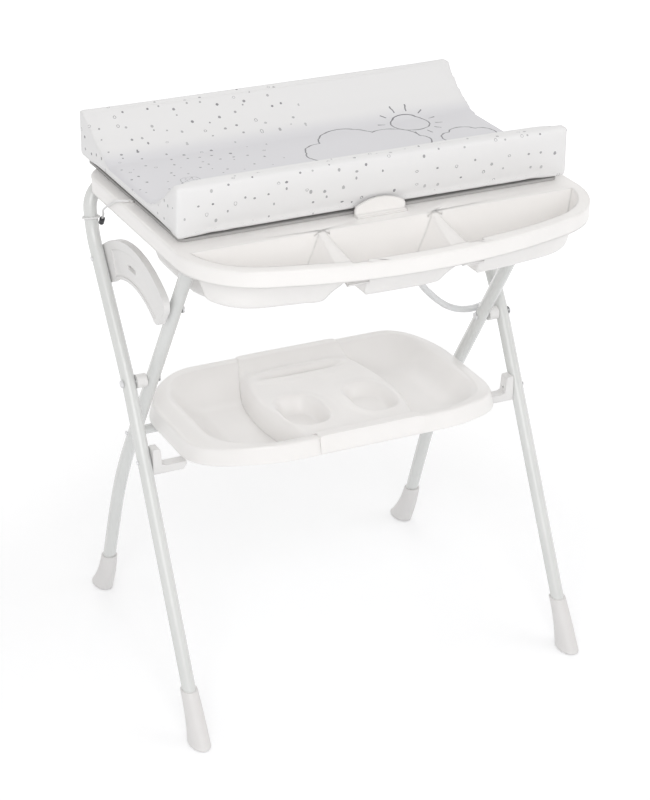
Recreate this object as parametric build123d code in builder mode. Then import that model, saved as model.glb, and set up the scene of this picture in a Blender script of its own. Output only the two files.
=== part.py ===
import math
import os

from build123d import *

os.makedirs("parts", exist_ok=True)

# A folding changing table for a baby: two crossed pairs of bent steel tubes carry a moulded
# bath with three front trays, a padded mat hinged on top of it and a moulded shelf below.
# +Z is up, -Y is the front where the parent stands, +X is the right seen from the front.
# The origin is on the floor under the middle of the table. All lengths are millimetres.

# General values
cut_over = 2.0  # overrun of every cut
seat_gap = 0.3  # air between pieces that rest on each other
screw_air = 0.2  # air round a screw shank
slim = 0.1  # small air in sockets

# Steel tubes
tube_radius = 12.5
tube_wall = 1.5
outer_leg_x = 382.0
inner_leg_x = 337.0
pivot_y = 42.0
pivot_height = 585.0
outer_lower_lean = 27.2  # degrees from upright, below the pivot
outer_upper_lean = 34.9
outer_pivot_bend = 600.0
knee_height = 812.0
knee_bend = 110.0
bar_y = 220.0
bar_height = 905.0
bar_corner_bend = 50.0
inner_upper_lean = 32.8
inner_lower_lean = 20.1
inner_bend_height = 305.0
inner_bend = 900.0
shoe_height = 889.0  # where the inner tubes end

# Feet
foot_height = 90.0
foot_floor = 16.0  # solid sole under the tube's end
foot_half_width = 19.0
foot_half_length = 32.5
foot_top_radius = 15.5
front_toe_out = 44.0  # how far the sole's middle runs ahead of the foot's top
foot_edge = 2.0

# Main pivots
bolt_radius = 4.0
bolt_head_radius = 8.0
bolt_head_height = 3.2
nut_radius = 8.0
nut_height = 1.8

# Locking sector on the left side
sector_thick = 12.0
sector_inner_radius = 184.0
sector_outer_radius = 255.0
sector_start = 50.5  # degrees about the pivot, from the back upwards
sector_end = 127.0
sector_corner = 20.0
sector_recess = 2.0
sector_recess_start = 10.0  # degrees from the tube's line
sector_recess_end = 5.0  # degrees from the plate's end
sector_border = 6.0
sector_rim = 17.0
guide_radius = 213.0
fold_angle = 42.0
guide_pin_radius = 3.5
guide_depth = 5.5
sector_screw_radius = 233.0
sector_screw_inner_radius = 202.0
window_start = 84.0
window_end = 92.0
window_height = 9.0
small_screw_radius = 2.5
small_head_radius = 4.6
small_head_height = 2.2

# Shelf hooks on the outer tubes
hook_base_height = 433.0
hook_seat_height = 447.8
hook_tooth_height = 482.0
hook_tooth_x = 355.0
hook_inner_x = 305.0
hook_length = 22.0
hook_round = 3.0

# Bath
rim_half_width = 385.0
rim_front_y = -382.0
rim_back_y = 242.0
rim_top = 925.0
rim_plate = 4.0
skirt_height = 29.0
skirt_wall = 3.0
skirt_back_y = 190.0
bow_radius = 900.0
rim_corner = 150.0
rim_back_corner = 62.0
rim_edge = 3.2
rim_width = 21.0
bath_wall = 3.0
basin_half_width = 312.0
basin_front_y = -122.0
basin_back_y = 186.0
basin_corner = 95.0
basin_depth = 157.0
basin_draft = 7.0
basin_floor_round = 38.0
tray_back_y = -212.0
tray_depth = 84.0
tray_draft = 13.0
tray_floor_round = 18.0
divider_x = 107.0
divider_half_width = 7.0
divider_back_drop = 8.0
divider_front_drop = 38.0
stop_rib_thick = 4.0
stop_rib_height = 8.0

# Bath saddles that turn on the rear bar
saddle_x = 270.0
saddle_width = 34.0
saddle_wall = 6.0
saddle_air = 0.3

# Mat
mat_half_width = 375.0
mat_front_y = -178.0
mat_back_y = 283.0
mat_top_front = 1033.0
mat_top_back = 1030.0
mat_floor = 948.0
mat_lip = 20.0
mat_round = 5.0
board_thick = 5.0
board_inset = 13.0
hinge_axis_y = 270.0
hinge_axis_height = 919.0
hinge_x = 210.0
hinge_width = 20.0
hinge_leaf = 4.0
hinge_pin_radius = 2.5
hinge_pin_air = 0.06
hinge_knuckle_radius = 6.0

# Catch tab for the mat's front
catch_half_width = 48.0
catch_thick = 4.0
catch_height = 31.0
catch_foot = 9.0

# Drain
drain_x = 180.0
drain_y = 20.0
drain_hole_radius = 18.0
drain_flange_radius = 27.0
drain_flange_thick = 2.5
drain_bore_radius = 14.0
drain_body_length = 20.0
drain_spout_radius = 6.5
drain_spout_length = 10.0
drain_nut_radius = 27.0
drain_nut_thick = 6.0
plug_height = 11.0
plug_ring_radius = 8.0
plug_ring_thick = 1.4

# Hose and tie cord
hose_radius = 6.5
hose_cap_length = 9.0
hose_clip_width = 9.0
hose_clip_wall = 3.0
tie_radius = 2.0
tie_anchor = 6.0
tie_anchor_height = 4.5
loop_height = 843.0
loop_tilt_share = 0.18
toggle_radius = 5.0
toggle_length = 15.0

# Shelf
shelf_top = 512.0
shelf_half_width = 318.0
shelf_front_y = -183.0
shelf_back_y = 224.0
shelf_front_corner = 165.0
shelf_back_corner = 118.0
shelf_skirt = 32.0
shelf_flare = 12.0  # degrees, the skirt spreads downwards
shelf_level_half = 190.0  # half of the level middle, from where the rim sinks towards both ends
shelf_end_drop = 44.0  # how far the rim would sink at one rim's width beyond the end
shelf_end_notch = 15.0  # air behind and ahead of a hook
shelf_wall = 3.0
shelf_rim_width = 17.0
shelf_basin_depth = 55.0
shelf_basin_draft = 46.0
shelf_basin_round = 34.0
shelf_pivot_y = 148.0
shelf_pivot_height = 430.0
cross_tube_radius = 9.0
shelf_clip_x = 220.0
shelf_clip_width = 30.0
shelf_clip_wall = 5.0
shelf_clip_reach = 8.0  # up the basin's sloping wall
clip_block_share = 1.6  # of the clip's radius

# Caddy over the middle of the shelf
caddy_half_width = 104.0
caddy_belly = 140.0
caddy_thick = 3.0
caddy_rise = 3.0
caddy_step = 16.0
caddy_flap_rise = 4.0  # the front flap ends this far above the skirt's foot
cup_x = 70.0
cup_y = -16.0
cup_half_width = 40.0
cup_half_length = 62.0
cup_depth = 28.0
cup_draft = 10.0
bar_recess_y = 132.0
bar_recess_length = 205.0
bar_recess_width = 26.0
bar_recess_depth = 8.0


def lean_offset(height, lean):
    """How far a tube that leans by lean degrees moves sideways over height."""
    return height * math.tan(math.radians(lean))


def polar(radius, degrees):
    """Y and Z of a point about the main pivot, measured from the back upwards."""
    angle = math.radians(degrees)
    return pivot_y + radius * math.cos(angle), pivot_height + radius * math.sin(angle)


def cord_radii(points):
    """Largest fair arc at each corner of a cord's route."""
    radii = []
    for before, corner, after in zip(points, points[1:], points[2:]):
        run_in = Vector(corner) - Vector(before)
        run_out = Vector(after) - Vector(corner)
        half_turn = math.radians(run_in.get_angle(run_out)) / 2
        radii.append(0.45 * min(run_in.length, run_out.length) / math.tan(half_turn))
    return radii


# Places worked out from the driving sizes
outer_foot_y = pivot_y - lean_offset(pivot_height, outer_lower_lean)
knee_y = pivot_y + lean_offset(knee_height - pivot_height, outer_upper_lean)
inner_bend_y = pivot_y + lean_offset(pivot_height - inner_bend_height, inner_upper_lean)
inner_foot_y = inner_bend_y + lean_offset(inner_bend_height, inner_lower_lean)
shoe_y = pivot_y - lean_offset(shoe_height - pivot_height, inner_upper_lean)
outer_leg_inside = outer_leg_x - tube_radius
inner_leg_outside = inner_leg_x + tube_radius
inner_leg_inside = inner_leg_x - tube_radius
skirt_bottom = rim_top - skirt_height
rim_under = rim_top - rim_plate
basin_floor = rim_top - basin_depth
tray_floor = rim_top - tray_depth
board_bottom = rim_top + seat_gap
mat_bottom = board_bottom + board_thick + seat_gap
leg_angle = 90.0 + inner_upper_lean
sector_outside = outer_leg_inside - seat_gap
sector_inside = sector_outside - sector_thick
outer_leg_angle = 90.0 - outer_upper_lean


def tube_sweep(points, radii):
    """A hollow bent tube along rounded runs, as a part."""
    with BuildPart() as tube:
        with BuildLine() as path:
            FilletPolyline(*points, radius=radii)
        route = path.wire()
        with BuildSketch(Plane(origin=route @ 0, z_dir=route % 0)):
            Circle(tube_radius)
            Circle(tube_radius - tube_wall, mode=Mode.SUBTRACT)
        sweep(path=route)
    return tube


# Outer frame: one tube bent into an upside-down U, its top bar is the bath's hinge
outer_start_y = outer_foot_y + lean_offset(foot_floor, outer_lower_lean)
outer_side = [
    (outer_leg_x, outer_start_y, foot_floor),
    (outer_leg_x, pivot_y, pivot_height),
    (outer_leg_x, knee_y, knee_height),
    (outer_leg_x, bar_y, bar_height),
]
outer_route = [(-x, y, z) for x, y, z in outer_side] + outer_side[::-1]
outer_bends = [outer_pivot_bend, knee_bend, bar_corner_bend]
outer_frame_tube = tube_sweep(outer_route, outer_bends + outer_bends[::-1])
sector_screw_y, sector_screw_z = polar(sector_screw_radius, outer_leg_angle)
sector_low_y, sector_low_z = polar(sector_screw_inner_radius, outer_leg_angle)
hook_height = (hook_base_height + hook_tooth_height) / 2
hook_y = pivot_y - lean_offset(pivot_height - hook_height, outer_lower_lean)
with outer_frame_tube:
    for side in (-1, 1):
        with Locations(Location((side * outer_leg_x, pivot_y, pivot_height), (0, 90, 0))):
            Cylinder(bolt_radius + slim, 4 * tube_radius, mode=Mode.SUBTRACT)
        with Locations(Location((side * outer_leg_x, hook_y, hook_height), (0, 90, 0))):
            Cylinder(small_screw_radius + screw_air, 4 * tube_radius, mode=Mode.SUBTRACT)
    with Locations(Location((-outer_leg_x, sector_screw_y, sector_screw_z), (0, 90, 0))):
        Cylinder(small_screw_radius + screw_air, 4 * tube_radius, mode=Mode.SUBTRACT)


# Inner legs
def inner_leg(side, label):
    start_y = inner_foot_y - lean_offset(foot_floor, inner_lower_lean)
    leg = tube_sweep(
        [
            (side * inner_leg_x, start_y, foot_floor),
            (side * inner_leg_x, inner_bend_y, inner_bend_height),
            (side * inner_leg_x, shoe_y, shoe_height),
        ],
        [inner_bend],
    )
    with leg:
        with Locations(Location((side * inner_leg_x, pivot_y, pivot_height), (0, 90, 0))):
            Cylinder(bolt_radius + slim, 4 * tube_radius, mode=Mode.SUBTRACT)
        cross = (side * inner_leg_x, shelf_pivot_y, shelf_pivot_height)
        with Locations(Location(cross, (0, 90, 0))):
            Cylinder(small_screw_radius + screw_air, 4 * tube_radius, mode=Mode.SUBTRACT)
        if side < 0:
            pin_y, pin_z = polar(guide_radius, leg_angle)
            with Locations(Location((side * inner_leg_x, pin_y, pin_z), (0, 90, 0))):
                Cylinder(guide_pin_radius + slim, 4 * tube_radius, mode=Mode.SUBTRACT)
    leg.part.label = label
    return leg


# Flared feet: a round mouth that takes the tube, spreading to a long sole that leans outwards
def foot(side_x, floor_y, lean, out, sole_y, label):
    """out is -1 for a foot whose toe runs to the front, +1 to the back."""
    top_y = floor_y - out * lean_offset(foot_height, lean)
    waist_y = floor_y - out * lean_offset(foot_height / 2, lean)
    base = (side_x, floor_y - out * lean_offset(foot_floor, lean), foot_floor)
    leaning = Plane(origin=base, x_dir=(1, 0, 0), z_dir=(0, -out * lean_offset(1, lean), 1))
    with BuildPart() as body:
        with BuildSketch(Plane((side_x, sole_y, 0))):
            Ellipse(foot_half_width, foot_half_length)
        with BuildSketch(Plane((side_x, waist_y + out * foot_edge * 3, foot_height * 0.42))):
            Ellipse(foot_top_radius + foot_edge, foot_top_radius + foot_edge * 4)
        with BuildSketch(Plane((side_x, top_y, foot_height))):
            Ellipse(foot_top_radius, foot_top_radius / math.cos(math.radians(lean)))
        loft()
        fillet(body.faces().sort_by(Axis.Z)[0].edges(), radius=foot_edge)
        with BuildSketch(leaning):
            Circle(tube_radius + slim)
        extrude(amount=foot_height * 2, mode=Mode.SUBTRACT)
    body.part.label = label
    return body


front_sole_y = outer_foot_y + lean_offset(foot_height, outer_lower_lean) - front_toe_out
rear_sole_y = -rim_front_y - foot_half_length  # as far behind the middle as the rim is ahead of it
feet = [
    foot(-outer_leg_x, outer_foot_y, outer_lower_lean, -1, front_sole_y, "front_foot_left"),
    foot(outer_leg_x, outer_foot_y, outer_lower_lean, -1, front_sole_y, "front_foot_right"),
    foot(-inner_leg_x, inner_foot_y, inner_lower_lean, 1, rear_sole_y, "rear_foot_left"),
    foot(inner_leg_x, inner_foot_y, inner_lower_lean, 1, rear_sole_y, "rear_foot_right"),
]
inner_leg_left = inner_leg(-1, "inner_leg_left")
inner_leg_right = inner_leg(1, "inner_leg_right")

# Main pivot: bolt, spacer between the tubes, low nut inside
with BuildPart() as pivot_bolts:
    for side in (-1, 1):
        shank_start = (side * (inner_leg_inside - nut_height), pivot_y, pivot_height)
        with BuildSketch(Plane(origin=shank_start, z_dir=(side, 0, 0))):
            Circle(bolt_radius)
        extrude(amount=outer_leg_x + tube_radius - inner_leg_inside + nut_height)
        head = (side * (outer_leg_x + tube_radius), pivot_y, pivot_height)
        with BuildSketch(Plane(origin=head, z_dir=(side, 0, 0))):
            Circle(bolt_head_radius)
        extrude(amount=bolt_head_height, taper=35)

with BuildPart() as pivot_spacers:
    for side in (-1, 1):
        face = (side * (inner_leg_outside + seat_gap), pivot_y, pivot_height)
        with BuildSketch(Plane(origin=face, z_dir=(side, 0, 0))):
            Circle(tube_radius)
            Circle(bolt_radius + slim, mode=Mode.SUBTRACT)
        extrude(amount=outer_leg_inside - inner_leg_outside - 2 * seat_gap)

with BuildPart() as pivot_nuts:
    for side in (-1, 1):
        face = (side * inner_leg_inside, pivot_y, pivot_height)
        with BuildSketch(Plane(origin=face, z_dir=(-side, 0, 0))):
            RegularPolygon(nut_radius, 6)
            Circle(bolt_radius + slim / 2, mode=Mode.SUBTRACT)
        extrude(amount=nut_height)

# Locking sector: an arc-shaped plate on the left outer tube, with a track for the guide pin
detent_angle = leg_angle - fold_angle
track_face = Plane(origin=(-sector_inside, 0, 0), x_dir=(0, 1, 0), z_dir=(1, 0, 0))
with BuildPart() as lock_sector:
    with BuildSketch(Plane(origin=(-sector_outside, 0, 0), x_dir=(0, 1, 0), z_dir=(1, 0, 0))) as outline:
        with BuildLine():
            span = sector_end - sector_start
            CenterArc((pivot_y, pivot_height), sector_outer_radius, sector_start, span)
            CenterArc((pivot_y, pivot_height), sector_inner_radius, sector_start, span)
            Line(polar(sector_inner_radius, sector_start), polar(sector_outer_radius, sector_start))
            Line(polar(sector_inner_radius, sector_end), polar(sector_outer_radius, sector_end))
        make_face()
        fillet(outline.vertices(), radius=sector_corner)
    extrude(amount=sector_thick)
    with BuildSketch(Plane(origin=(-sector_outside, 0, 0), x_dir=(0, 1, 0), z_dir=(1, 0, 0))):
        with BuildLine():
            low = sector_inner_radius + sector_border
            high = sector_outer_radius - sector_rim
            first = outer_leg_angle + sector_recess_start
            last = sector_end - sector_recess_end
            CenterArc((pivot_y, pivot_height), high, first, last - first)
            CenterArc((pivot_y, pivot_height), low, first, last - first)
            Line(polar(low, first), polar(high, first))
            Line(polar(low, last), polar(high, last))
        make_face()
    extrude(amount=sector_recess, mode=Mode.SUBTRACT)
    with BuildSketch(track_face):
        with BuildLine(mode=Mode.PRIVATE) as track:
            CenterArc((pivot_y, pivot_height), guide_radius, detent_angle, fold_angle)
        SlotArc(arc=track.wire(), height=2 * (guide_pin_radius + seat_gap))
    extrude(amount=-guide_depth, mode=Mode.SUBTRACT)
    with BuildSketch(track_face):
        with BuildLine(mode=Mode.PRIVATE) as window:
            CenterArc((pivot_y, pivot_height), guide_radius, window_start, window_end - window_start)
        SlotArc(arc=window.wire(), height=window_height)
        with Locations((sector_screw_y, sector_screw_z), (sector_low_y, sector_low_z)):
            Circle(small_screw_radius + screw_air)
    extrude(amount=-2 * sector_thick, mode=Mode.SUBTRACT)

# The upper screw goes right through the tube, the lower one comes from the plate's own side
with BuildPart() as sector_screws:
    upper = (-outer_leg_x - tube_radius, sector_screw_y, sector_screw_z)
    with BuildSketch(Plane(origin=upper, z_dir=(-1, 0, 0))):
        Circle(small_head_radius)
    extrude(amount=small_head_height, taper=30)
    with BuildSketch(Plane(origin=upper, z_dir=(1, 0, 0))):
        Circle(small_screw_radius)
    extrude(amount=2 * tube_radius + sector_thick)
    lower = (-sector_inside, sector_low_y, sector_low_z)
    with BuildSketch(Plane(origin=lower, z_dir=(1, 0, 0))):
        Circle(small_head_radius)
    extrude(amount=small_head_height, taper=30)
    with BuildSketch(Plane(origin=lower, z_dir=(-1, 0, 0))):
        Circle(small_screw_radius)
    extrude(amount=sector_thick)

pin_y, pin_z = polar(guide_radius, leg_angle)
with BuildPart() as guide_pin:
    root = (-inner_leg_inside + bolt_head_height, pin_y, pin_z)
    with BuildSketch(Plane(origin=root, z_dir=(-1, 0, 0))):
        Circle(bolt_head_radius - 1.5 * seat_gap)
    extrude(amount=bolt_head_height)
    with BuildSketch(Plane(origin=root, z_dir=(-1, 0, 0))):
        Circle(guide_pin_radius)
    extrude(amount=sector_inside - inner_leg_inside + bolt_head_height + guide_depth - seat_gap)

# Shelf hooks
hook_profile = [
    (outer_leg_inside - seat_gap, hook_base_height),
    (outer_leg_inside - seat_gap, hook_tooth_height),
    (hook_tooth_x, hook_tooth_height),
    (hook_tooth_x - hook_round, hook_seat_height + hook_round),
    (hook_tooth_x - 3 * hook_round, hook_seat_height),
    (hook_inner_x, hook_seat_height),
    (hook_inner_x, hook_base_height + 3 * hook_round),
    (hook_inner_x + 2 * hook_round, hook_base_height),
]


def shelf_hook(side, label):
    with BuildPart() as hook:
        hook_back = Plane(origin=(0, hook_y + hook_length / 2, 0), x_dir=(1, 0, 0), z_dir=(0, -1, 0))
        with BuildSketch(hook_back) as face:
            with BuildLine():
                Polyline(*[(side * x, z) for x, z in hook_profile], close=True)
            make_face()
            fillet(face.vertices().group_by(Axis.Y)[-1], radius=hook_round)
        extrude(amount=hook_length)
        with Locations(Location((side * outer_leg_inside, hook_y, hook_height), (0, 90, 0))):
            Cylinder(small_screw_radius + screw_air, 6 * tube_radius, mode=Mode.SUBTRACT)
    hook.part.label = label
    return hook


hooks = [shelf_hook(-1, "shelf_hook_left"), shelf_hook(1, "shelf_hook_right")]
with BuildPart() as hook_screws:
    for side in (-1, 1):
        outside = (side * (outer_leg_x + tube_radius), hook_y, hook_height)
        with BuildSketch(Plane(origin=outside, z_dir=(side, 0, 0))):
            Circle(small_head_radius)
        extrude(amount=small_head_height, taper=30)
        with BuildSketch(Plane(origin=outside, z_dir=(-side, 0, 0))):
            Circle(small_screw_radius)
        extrude(amount=outer_leg_x + tube_radius - hook_tooth_x - hook_round)

# Cross tube between the inner legs, on which the shelf turns
with BuildPart() as cross_tube:
    length = 2 * (inner_leg_inside - seat_gap)
    with BuildSketch(Plane(origin=(-length / 2, shelf_pivot_y, shelf_pivot_height), z_dir=(1, 0, 0))):
        Circle(cross_tube_radius)
        Circle(small_screw_radius + screw_air / 2, mode=Mode.SUBTRACT)
    extrude(amount=length)

with BuildPart() as cross_bolts:
    for side in (-1, 1):
        outside = (side * inner_leg_outside, shelf_pivot_y, shelf_pivot_height)
        with BuildSketch(Plane(origin=outside, z_dir=(side, 0, 0))):
            Circle(small_head_radius)
        extrude(amount=small_head_height, taper=30)
        with BuildSketch(Plane(origin=outside, z_dir=(-side, 0, 0))):
            Circle(small_screw_radius)
        extrude(amount=4 * tube_radius)


# Shoes on the inner legs' tops, under the bath's side ledges
shoe_lean = Vector(0, -math.sin(math.radians(inner_upper_lean)), math.cos(math.radians(inner_upper_lean)))
shoe_half_width = 15.5
shoe_half_length = 22.0
shoe_top_thick = 12.0
shoe_collar = 30.0


def rest_shoe(side, label):
    end = Vector(side * inner_leg_x, shoe_y, shoe_height)
    top = rim_under - seat_gap
    with BuildPart() as shoe:
        with BuildSketch(Plane(origin=end - shoe_lean * shoe_collar, x_dir=(1, 0, 0), z_dir=shoe_lean)):
            Circle(shoe_half_width)
        extrude(amount=shoe_collar + shoe_top_thick)
        with BuildSketch(Plane((side * inner_leg_x, shoe_y - shoe_half_width / 2, top - shoe_top_thick))):
            RectangleRounded(2 * shoe_half_width, 2 * shoe_half_length, shoe_half_width - slim)
        extrude(amount=-shoe_top_thick)
        with BuildSketch(Plane((side * inner_leg_x, shoe_y - shoe_half_width / 2, top))):
            RectangleRounded(2 * shoe_half_width, 2 * shoe_half_length, shoe_half_width - slim)
        extrude(amount=-shoe_top_thick)
        split(bisect_by=Plane((0, 0, top)), keep=Keep.BOTTOM)
        with BuildSketch(Plane(origin=end, x_dir=(1, 0, 0), z_dir=shoe_lean)):
            Circle(tube_radius + slim)
        extrude(amount=-2 * shoe_collar, mode=Mode.SUBTRACT)
    shoe.part.label = label
    return shoe


shoes = [rest_shoe(-1, "rest_shoe_left"), rest_shoe(1, "rest_shoe_right")]


# Bath shell
def rim_outline(inset):
    """The rim seen from above, drawn inset from its outer edge; the front bows forwards."""
    half = rim_half_width - inset
    front = rim_front_y + inset
    back = rim_back_y - inset
    bow = bow_radius - inset
    corner = rim_corner - inset
    back_corner = max(rim_back_corner - inset, tube_radius)
    bow_y = front + bow
    corner_x = half - corner
    corner_y = bow_y - math.sqrt((bow - corner) ** 2 - corner_x**2)
    reach = bow / (bow - corner)
    meet_x = corner_x * reach
    meet_y = bow_y + (corner_y - bow_y) * reach
    middle = math.atan2(corner_y - bow_y, corner_x) / 2
    with BuildSketch() as sketch:
        with BuildLine():
            ThreePointArc((-meet_x, meet_y), (0, front), (meet_x, meet_y))
            for side in (-1, 1):
                elbow = (
                    side * (corner_x + corner * math.cos(middle)),
                    corner_y + corner * math.sin(middle),
                )
                ThreePointArc((side * meet_x, meet_y), elbow, (side * half, corner_y))
                Line((side * half, corner_y), (side * half, back))
            Line((-half, back), (half, back))
        make_face()
        fillet(sketch.vertices().group_by(Axis.Y)[-1], radius=back_corner)
    return sketch.sketch


def basin_outline(grow):
    """The main basin's mouth, grown by the given amount."""
    middle = (basin_front_y + basin_back_y) / 2
    with BuildSketch() as sketch:
        with Locations((0, middle)):
            RectangleRounded(
                2 * (basin_half_width + grow),
                basin_back_y - basin_front_y + 2 * grow,
                basin_corner + grow,
            )
    return sketch.sketch


def tray_outline(low_x, high_x, grow):
    """One front tray's mouth: the bowed inner edge, cut to a stretch of X."""
    with BuildSketch() as sketch:
        add(rim_outline(rim_width - grow))
        with BuildSketch(mode=Mode.INTERSECT):
            width = high_x - low_x + 2 * grow
            with Locations(((low_x + high_x) / 2, (rim_front_y + tray_back_y) / 2 + grow / 2)):
                Rectangle(width, tray_back_y - rim_front_y + grow)
    return sketch.sketch


tray_gap = divider_x - divider_half_width
tray_far = divider_x + divider_half_width
tray_stretches = [(-rim_half_width, -tray_far), (-tray_gap, tray_gap), (tray_far, rim_half_width)]


def tapered_well(outline, depth, draft, rounding):
    """A tapered solid that hangs from the rim's top, rounded at its floor."""
    with BuildPart() as well:
        with BuildSketch(Plane.XY.offset(rim_top)):
            add(outline)
        extrude(amount=-depth, taper=draft)
        floor_edges = well.faces().sort_by(Axis.Z)[0].edges()
        fillet(floor_edges, radius=rounding)
    return well.part


with BuildPart() as tub_shell:
    with BuildSketch(Plane.XY.offset(rim_under)):
        add(rim_outline(0))
    extrude(amount=rim_plate)
    with BuildSketch(Plane.XY.offset(skirt_bottom)):
        add(rim_outline(0))
        add(rim_outline(skirt_wall), mode=Mode.SUBTRACT)
        with Locations((0, skirt_back_y)):
            Rectangle(
                3 * rim_half_width,
                2 * rim_back_y,
                align=(Align.CENTER, Align.MIN),
                mode=Mode.SUBTRACT,
            )
    extrude(amount=skirt_height - rim_plate)
    rim_edges = tub_shell.faces().sort_by(Axis.Z)[-1].outer_wire().edges()
    fillet(rim_edges, radius=rim_edge)
    add(tapered_well(basin_outline(bath_wall), basin_depth + bath_wall, basin_draft, basin_floor_round))
    for low_x, high_x in tray_stretches:
        outside = tray_outline(low_x, high_x, bath_wall)
        add(tapered_well(outside, tray_depth + bath_wall, tray_draft, tray_floor_round))
    for side in (-1, 1):
        with BuildSketch(Plane.YZ.offset(side * divider_x)):
            with BuildLine():
                front_y = rim_front_y + rim_width
                Polyline(
                    (tray_back_y, rim_under - divider_back_drop),
                    (tray_back_y, rim_top - divider_back_drop),
                    (front_y, rim_top - divider_front_drop),
                    (front_y, rim_under - divider_front_drop),
                    close=True,
                )
            make_face()
        extrude(amount=2 * divider_half_width, both=True)
        rib_y = shoe_y - shoe_half_width / 2 - shoe_half_length - 2 * stop_rib_thick
        with Locations((side * inner_leg_x, rib_y, rim_under)):
            Box(
                2 * shoe_half_width,
                stop_rib_thick,
                stop_rib_height,
                align=(Align.CENTER, Align.CENTER, Align.MAX),
            )
    add(
        tapered_well(basin_outline(0), basin_depth, basin_draft, basin_floor_round - bath_wall),
        mode=Mode.SUBTRACT,
    )
    for low_x, high_x in tray_stretches:
        inside = tray_outline(low_x, high_x, 0)
        add(
            tapered_well(inside, tray_depth, tray_draft, tray_floor_round - bath_wall),
            mode=Mode.SUBTRACT,
        )
    for side in (-1, 1):
        with BuildSketch(Plane.YZ.offset(side * divider_x)):
            with BuildLine():
                Polyline(
                    (tray_back_y, rim_top + cut_over),
                    (tray_back_y, rim_top - divider_back_drop),
                    (front_y, rim_top - divider_front_drop),
                    (front_y, rim_top + cut_over),
                    close=True,
                )
            make_face()
        extrude(amount=2 * divider_half_width, both=True, mode=Mode.SUBTRACT)
    with Locations((drain_x, drain_y, basin_floor)):
        Cylinder(drain_hole_radius, 4 * bath_wall, mode=Mode.SUBTRACT)


# Saddles that hang the bath on the rear bar
def bar_saddle(side, label):
    hook_radius = tube_radius + saddle_air + saddle_wall
    with BuildPart() as saddle:
        with BuildSketch(Plane.YZ.offset(side * saddle_x - saddle_width / 2)) as face:
            with Locations((bar_y, bar_height)):
                Circle(hook_radius)
            with BuildLine():
                Polyline(
                    (bar_y - hook_radius, bar_height),
                    (bar_y - hook_radius, rim_under),
                    (bar_y + hook_radius, rim_under),
                    (bar_y + hook_radius, bar_height),
                    close=True,
                )
            make_face()
            with BuildLine():
                Polyline(
                    (bar_y - 2 * hook_radius, rim_under),
                    (bar_y - 2 * hook_radius, rim_under + hook_radius),
                    (bar_y + 2 * hook_radius, rim_under + hook_radius),
                    (bar_y + 2 * hook_radius, rim_under),
                    close=True,
                )
            make_face(mode=Mode.SUBTRACT)
            with Locations((bar_y, bar_height)):
                Circle(tube_radius + saddle_air, mode=Mode.SUBTRACT)
            with Locations((bar_y + hook_radius / 3, bar_height)):
                Rectangle(
                    2 * tube_radius * 0.8,
                    4 * tube_radius,
                    align=(Align.CENTER, Align.MAX),
                    mode=Mode.SUBTRACT,
                )
        extrude(amount=saddle_width)
    saddle.part.label = label
    return saddle


saddles = [bar_saddle(-1, "bar_saddle_left"), bar_saddle(1, "bar_saddle_right")]

# Mat hinges: a bracket under the rim's back edge, a pin and two leaves under the mat's board
with BuildPart() as hinge_brackets:
    for side in (-1, 1):
        with BuildSketch(Plane.YZ.offset(side * hinge_x - hinge_width / 2)):
            with Locations((hinge_axis_y, hinge_axis_height)):
                Circle(hinge_knuckle_radius)
            with BuildLine():
                bracket_front = bar_y + tube_radius + saddle_air * 5
                Polyline(
                    (bracket_front, rim_under),
                    (rim_back_y, rim_under),
                    (rim_back_y + seat_gap, hinge_axis_height + hinge_pin_radius),
                    (hinge_axis_y, hinge_axis_height + hinge_knuckle_radius),
                    (hinge_axis_y, hinge_axis_height - hinge_knuckle_radius),
                    (bracket_front, hinge_axis_height - hinge_knuckle_radius),
                    close=True,
                )
            make_face()
            with Locations((hinge_axis_y, hinge_axis_height)):
                Circle(hinge_pin_radius + hinge_pin_air, mode=Mode.SUBTRACT)
        extrude(amount=hinge_width)

leaf_starts = [-hinge_width / 2 - seat_gap - hinge_leaf, hinge_width / 2 + seat_gap]
with BuildPart() as hinge_leaves:
    for side in (-1, 1):
        for start in leaf_starts:
            with BuildSketch(Plane.YZ.offset(side * hinge_x + start)):
                with Locations((hinge_axis_y, hinge_axis_height)):
                    Circle(hinge_knuckle_radius)
                with BuildLine():
                    leaf_front = hinge_axis_y - 4 * hinge_knuckle_radius
                    Polyline(
                        (leaf_front, board_bottom),
                        (hinge_axis_y + hinge_knuckle_radius, board_bottom),
                        (hinge_axis_y + hinge_knuckle_radius, hinge_axis_height),
                        (hinge_axis_y - hinge_knuckle_radius, hinge_axis_height),
                        (leaf_front, board_bottom - hinge_pin_radius),
                        close=True,
                    )
                make_face()
                with Locations((hinge_axis_y, hinge_axis_height)):
                    Circle(hinge_pin_radius + hinge_pin_air, mode=Mode.SUBTRACT)
            extrude(amount=hinge_leaf)

with BuildPart() as hinge_pins:
    pin_length = hinge_width + 2 * hinge_leaf + 4 * seat_gap
    for side in (-1, 1):
        start = (side * hinge_x - pin_length / 2, hinge_axis_y, hinge_axis_height)
        with BuildSketch(Plane(origin=start, z_dir=(1, 0, 0))):
            Circle(hinge_pin_radius)
        extrude(amount=pin_length)

# Mat: a stiff board and a padded cushion with a raised front, a trough and a sloping back
with BuildPart() as mat_board:
    with BuildSketch(Plane.XY.offset(board_bottom)):
        depth = mat_back_y - mat_front_y - 2 * board_inset
        with Locations((0, (mat_back_y + mat_front_y) / 2)):
            RectangleRounded(2 * (mat_half_width - board_inset), depth, board_inset)
    extrude(amount=board_thick)

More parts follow.
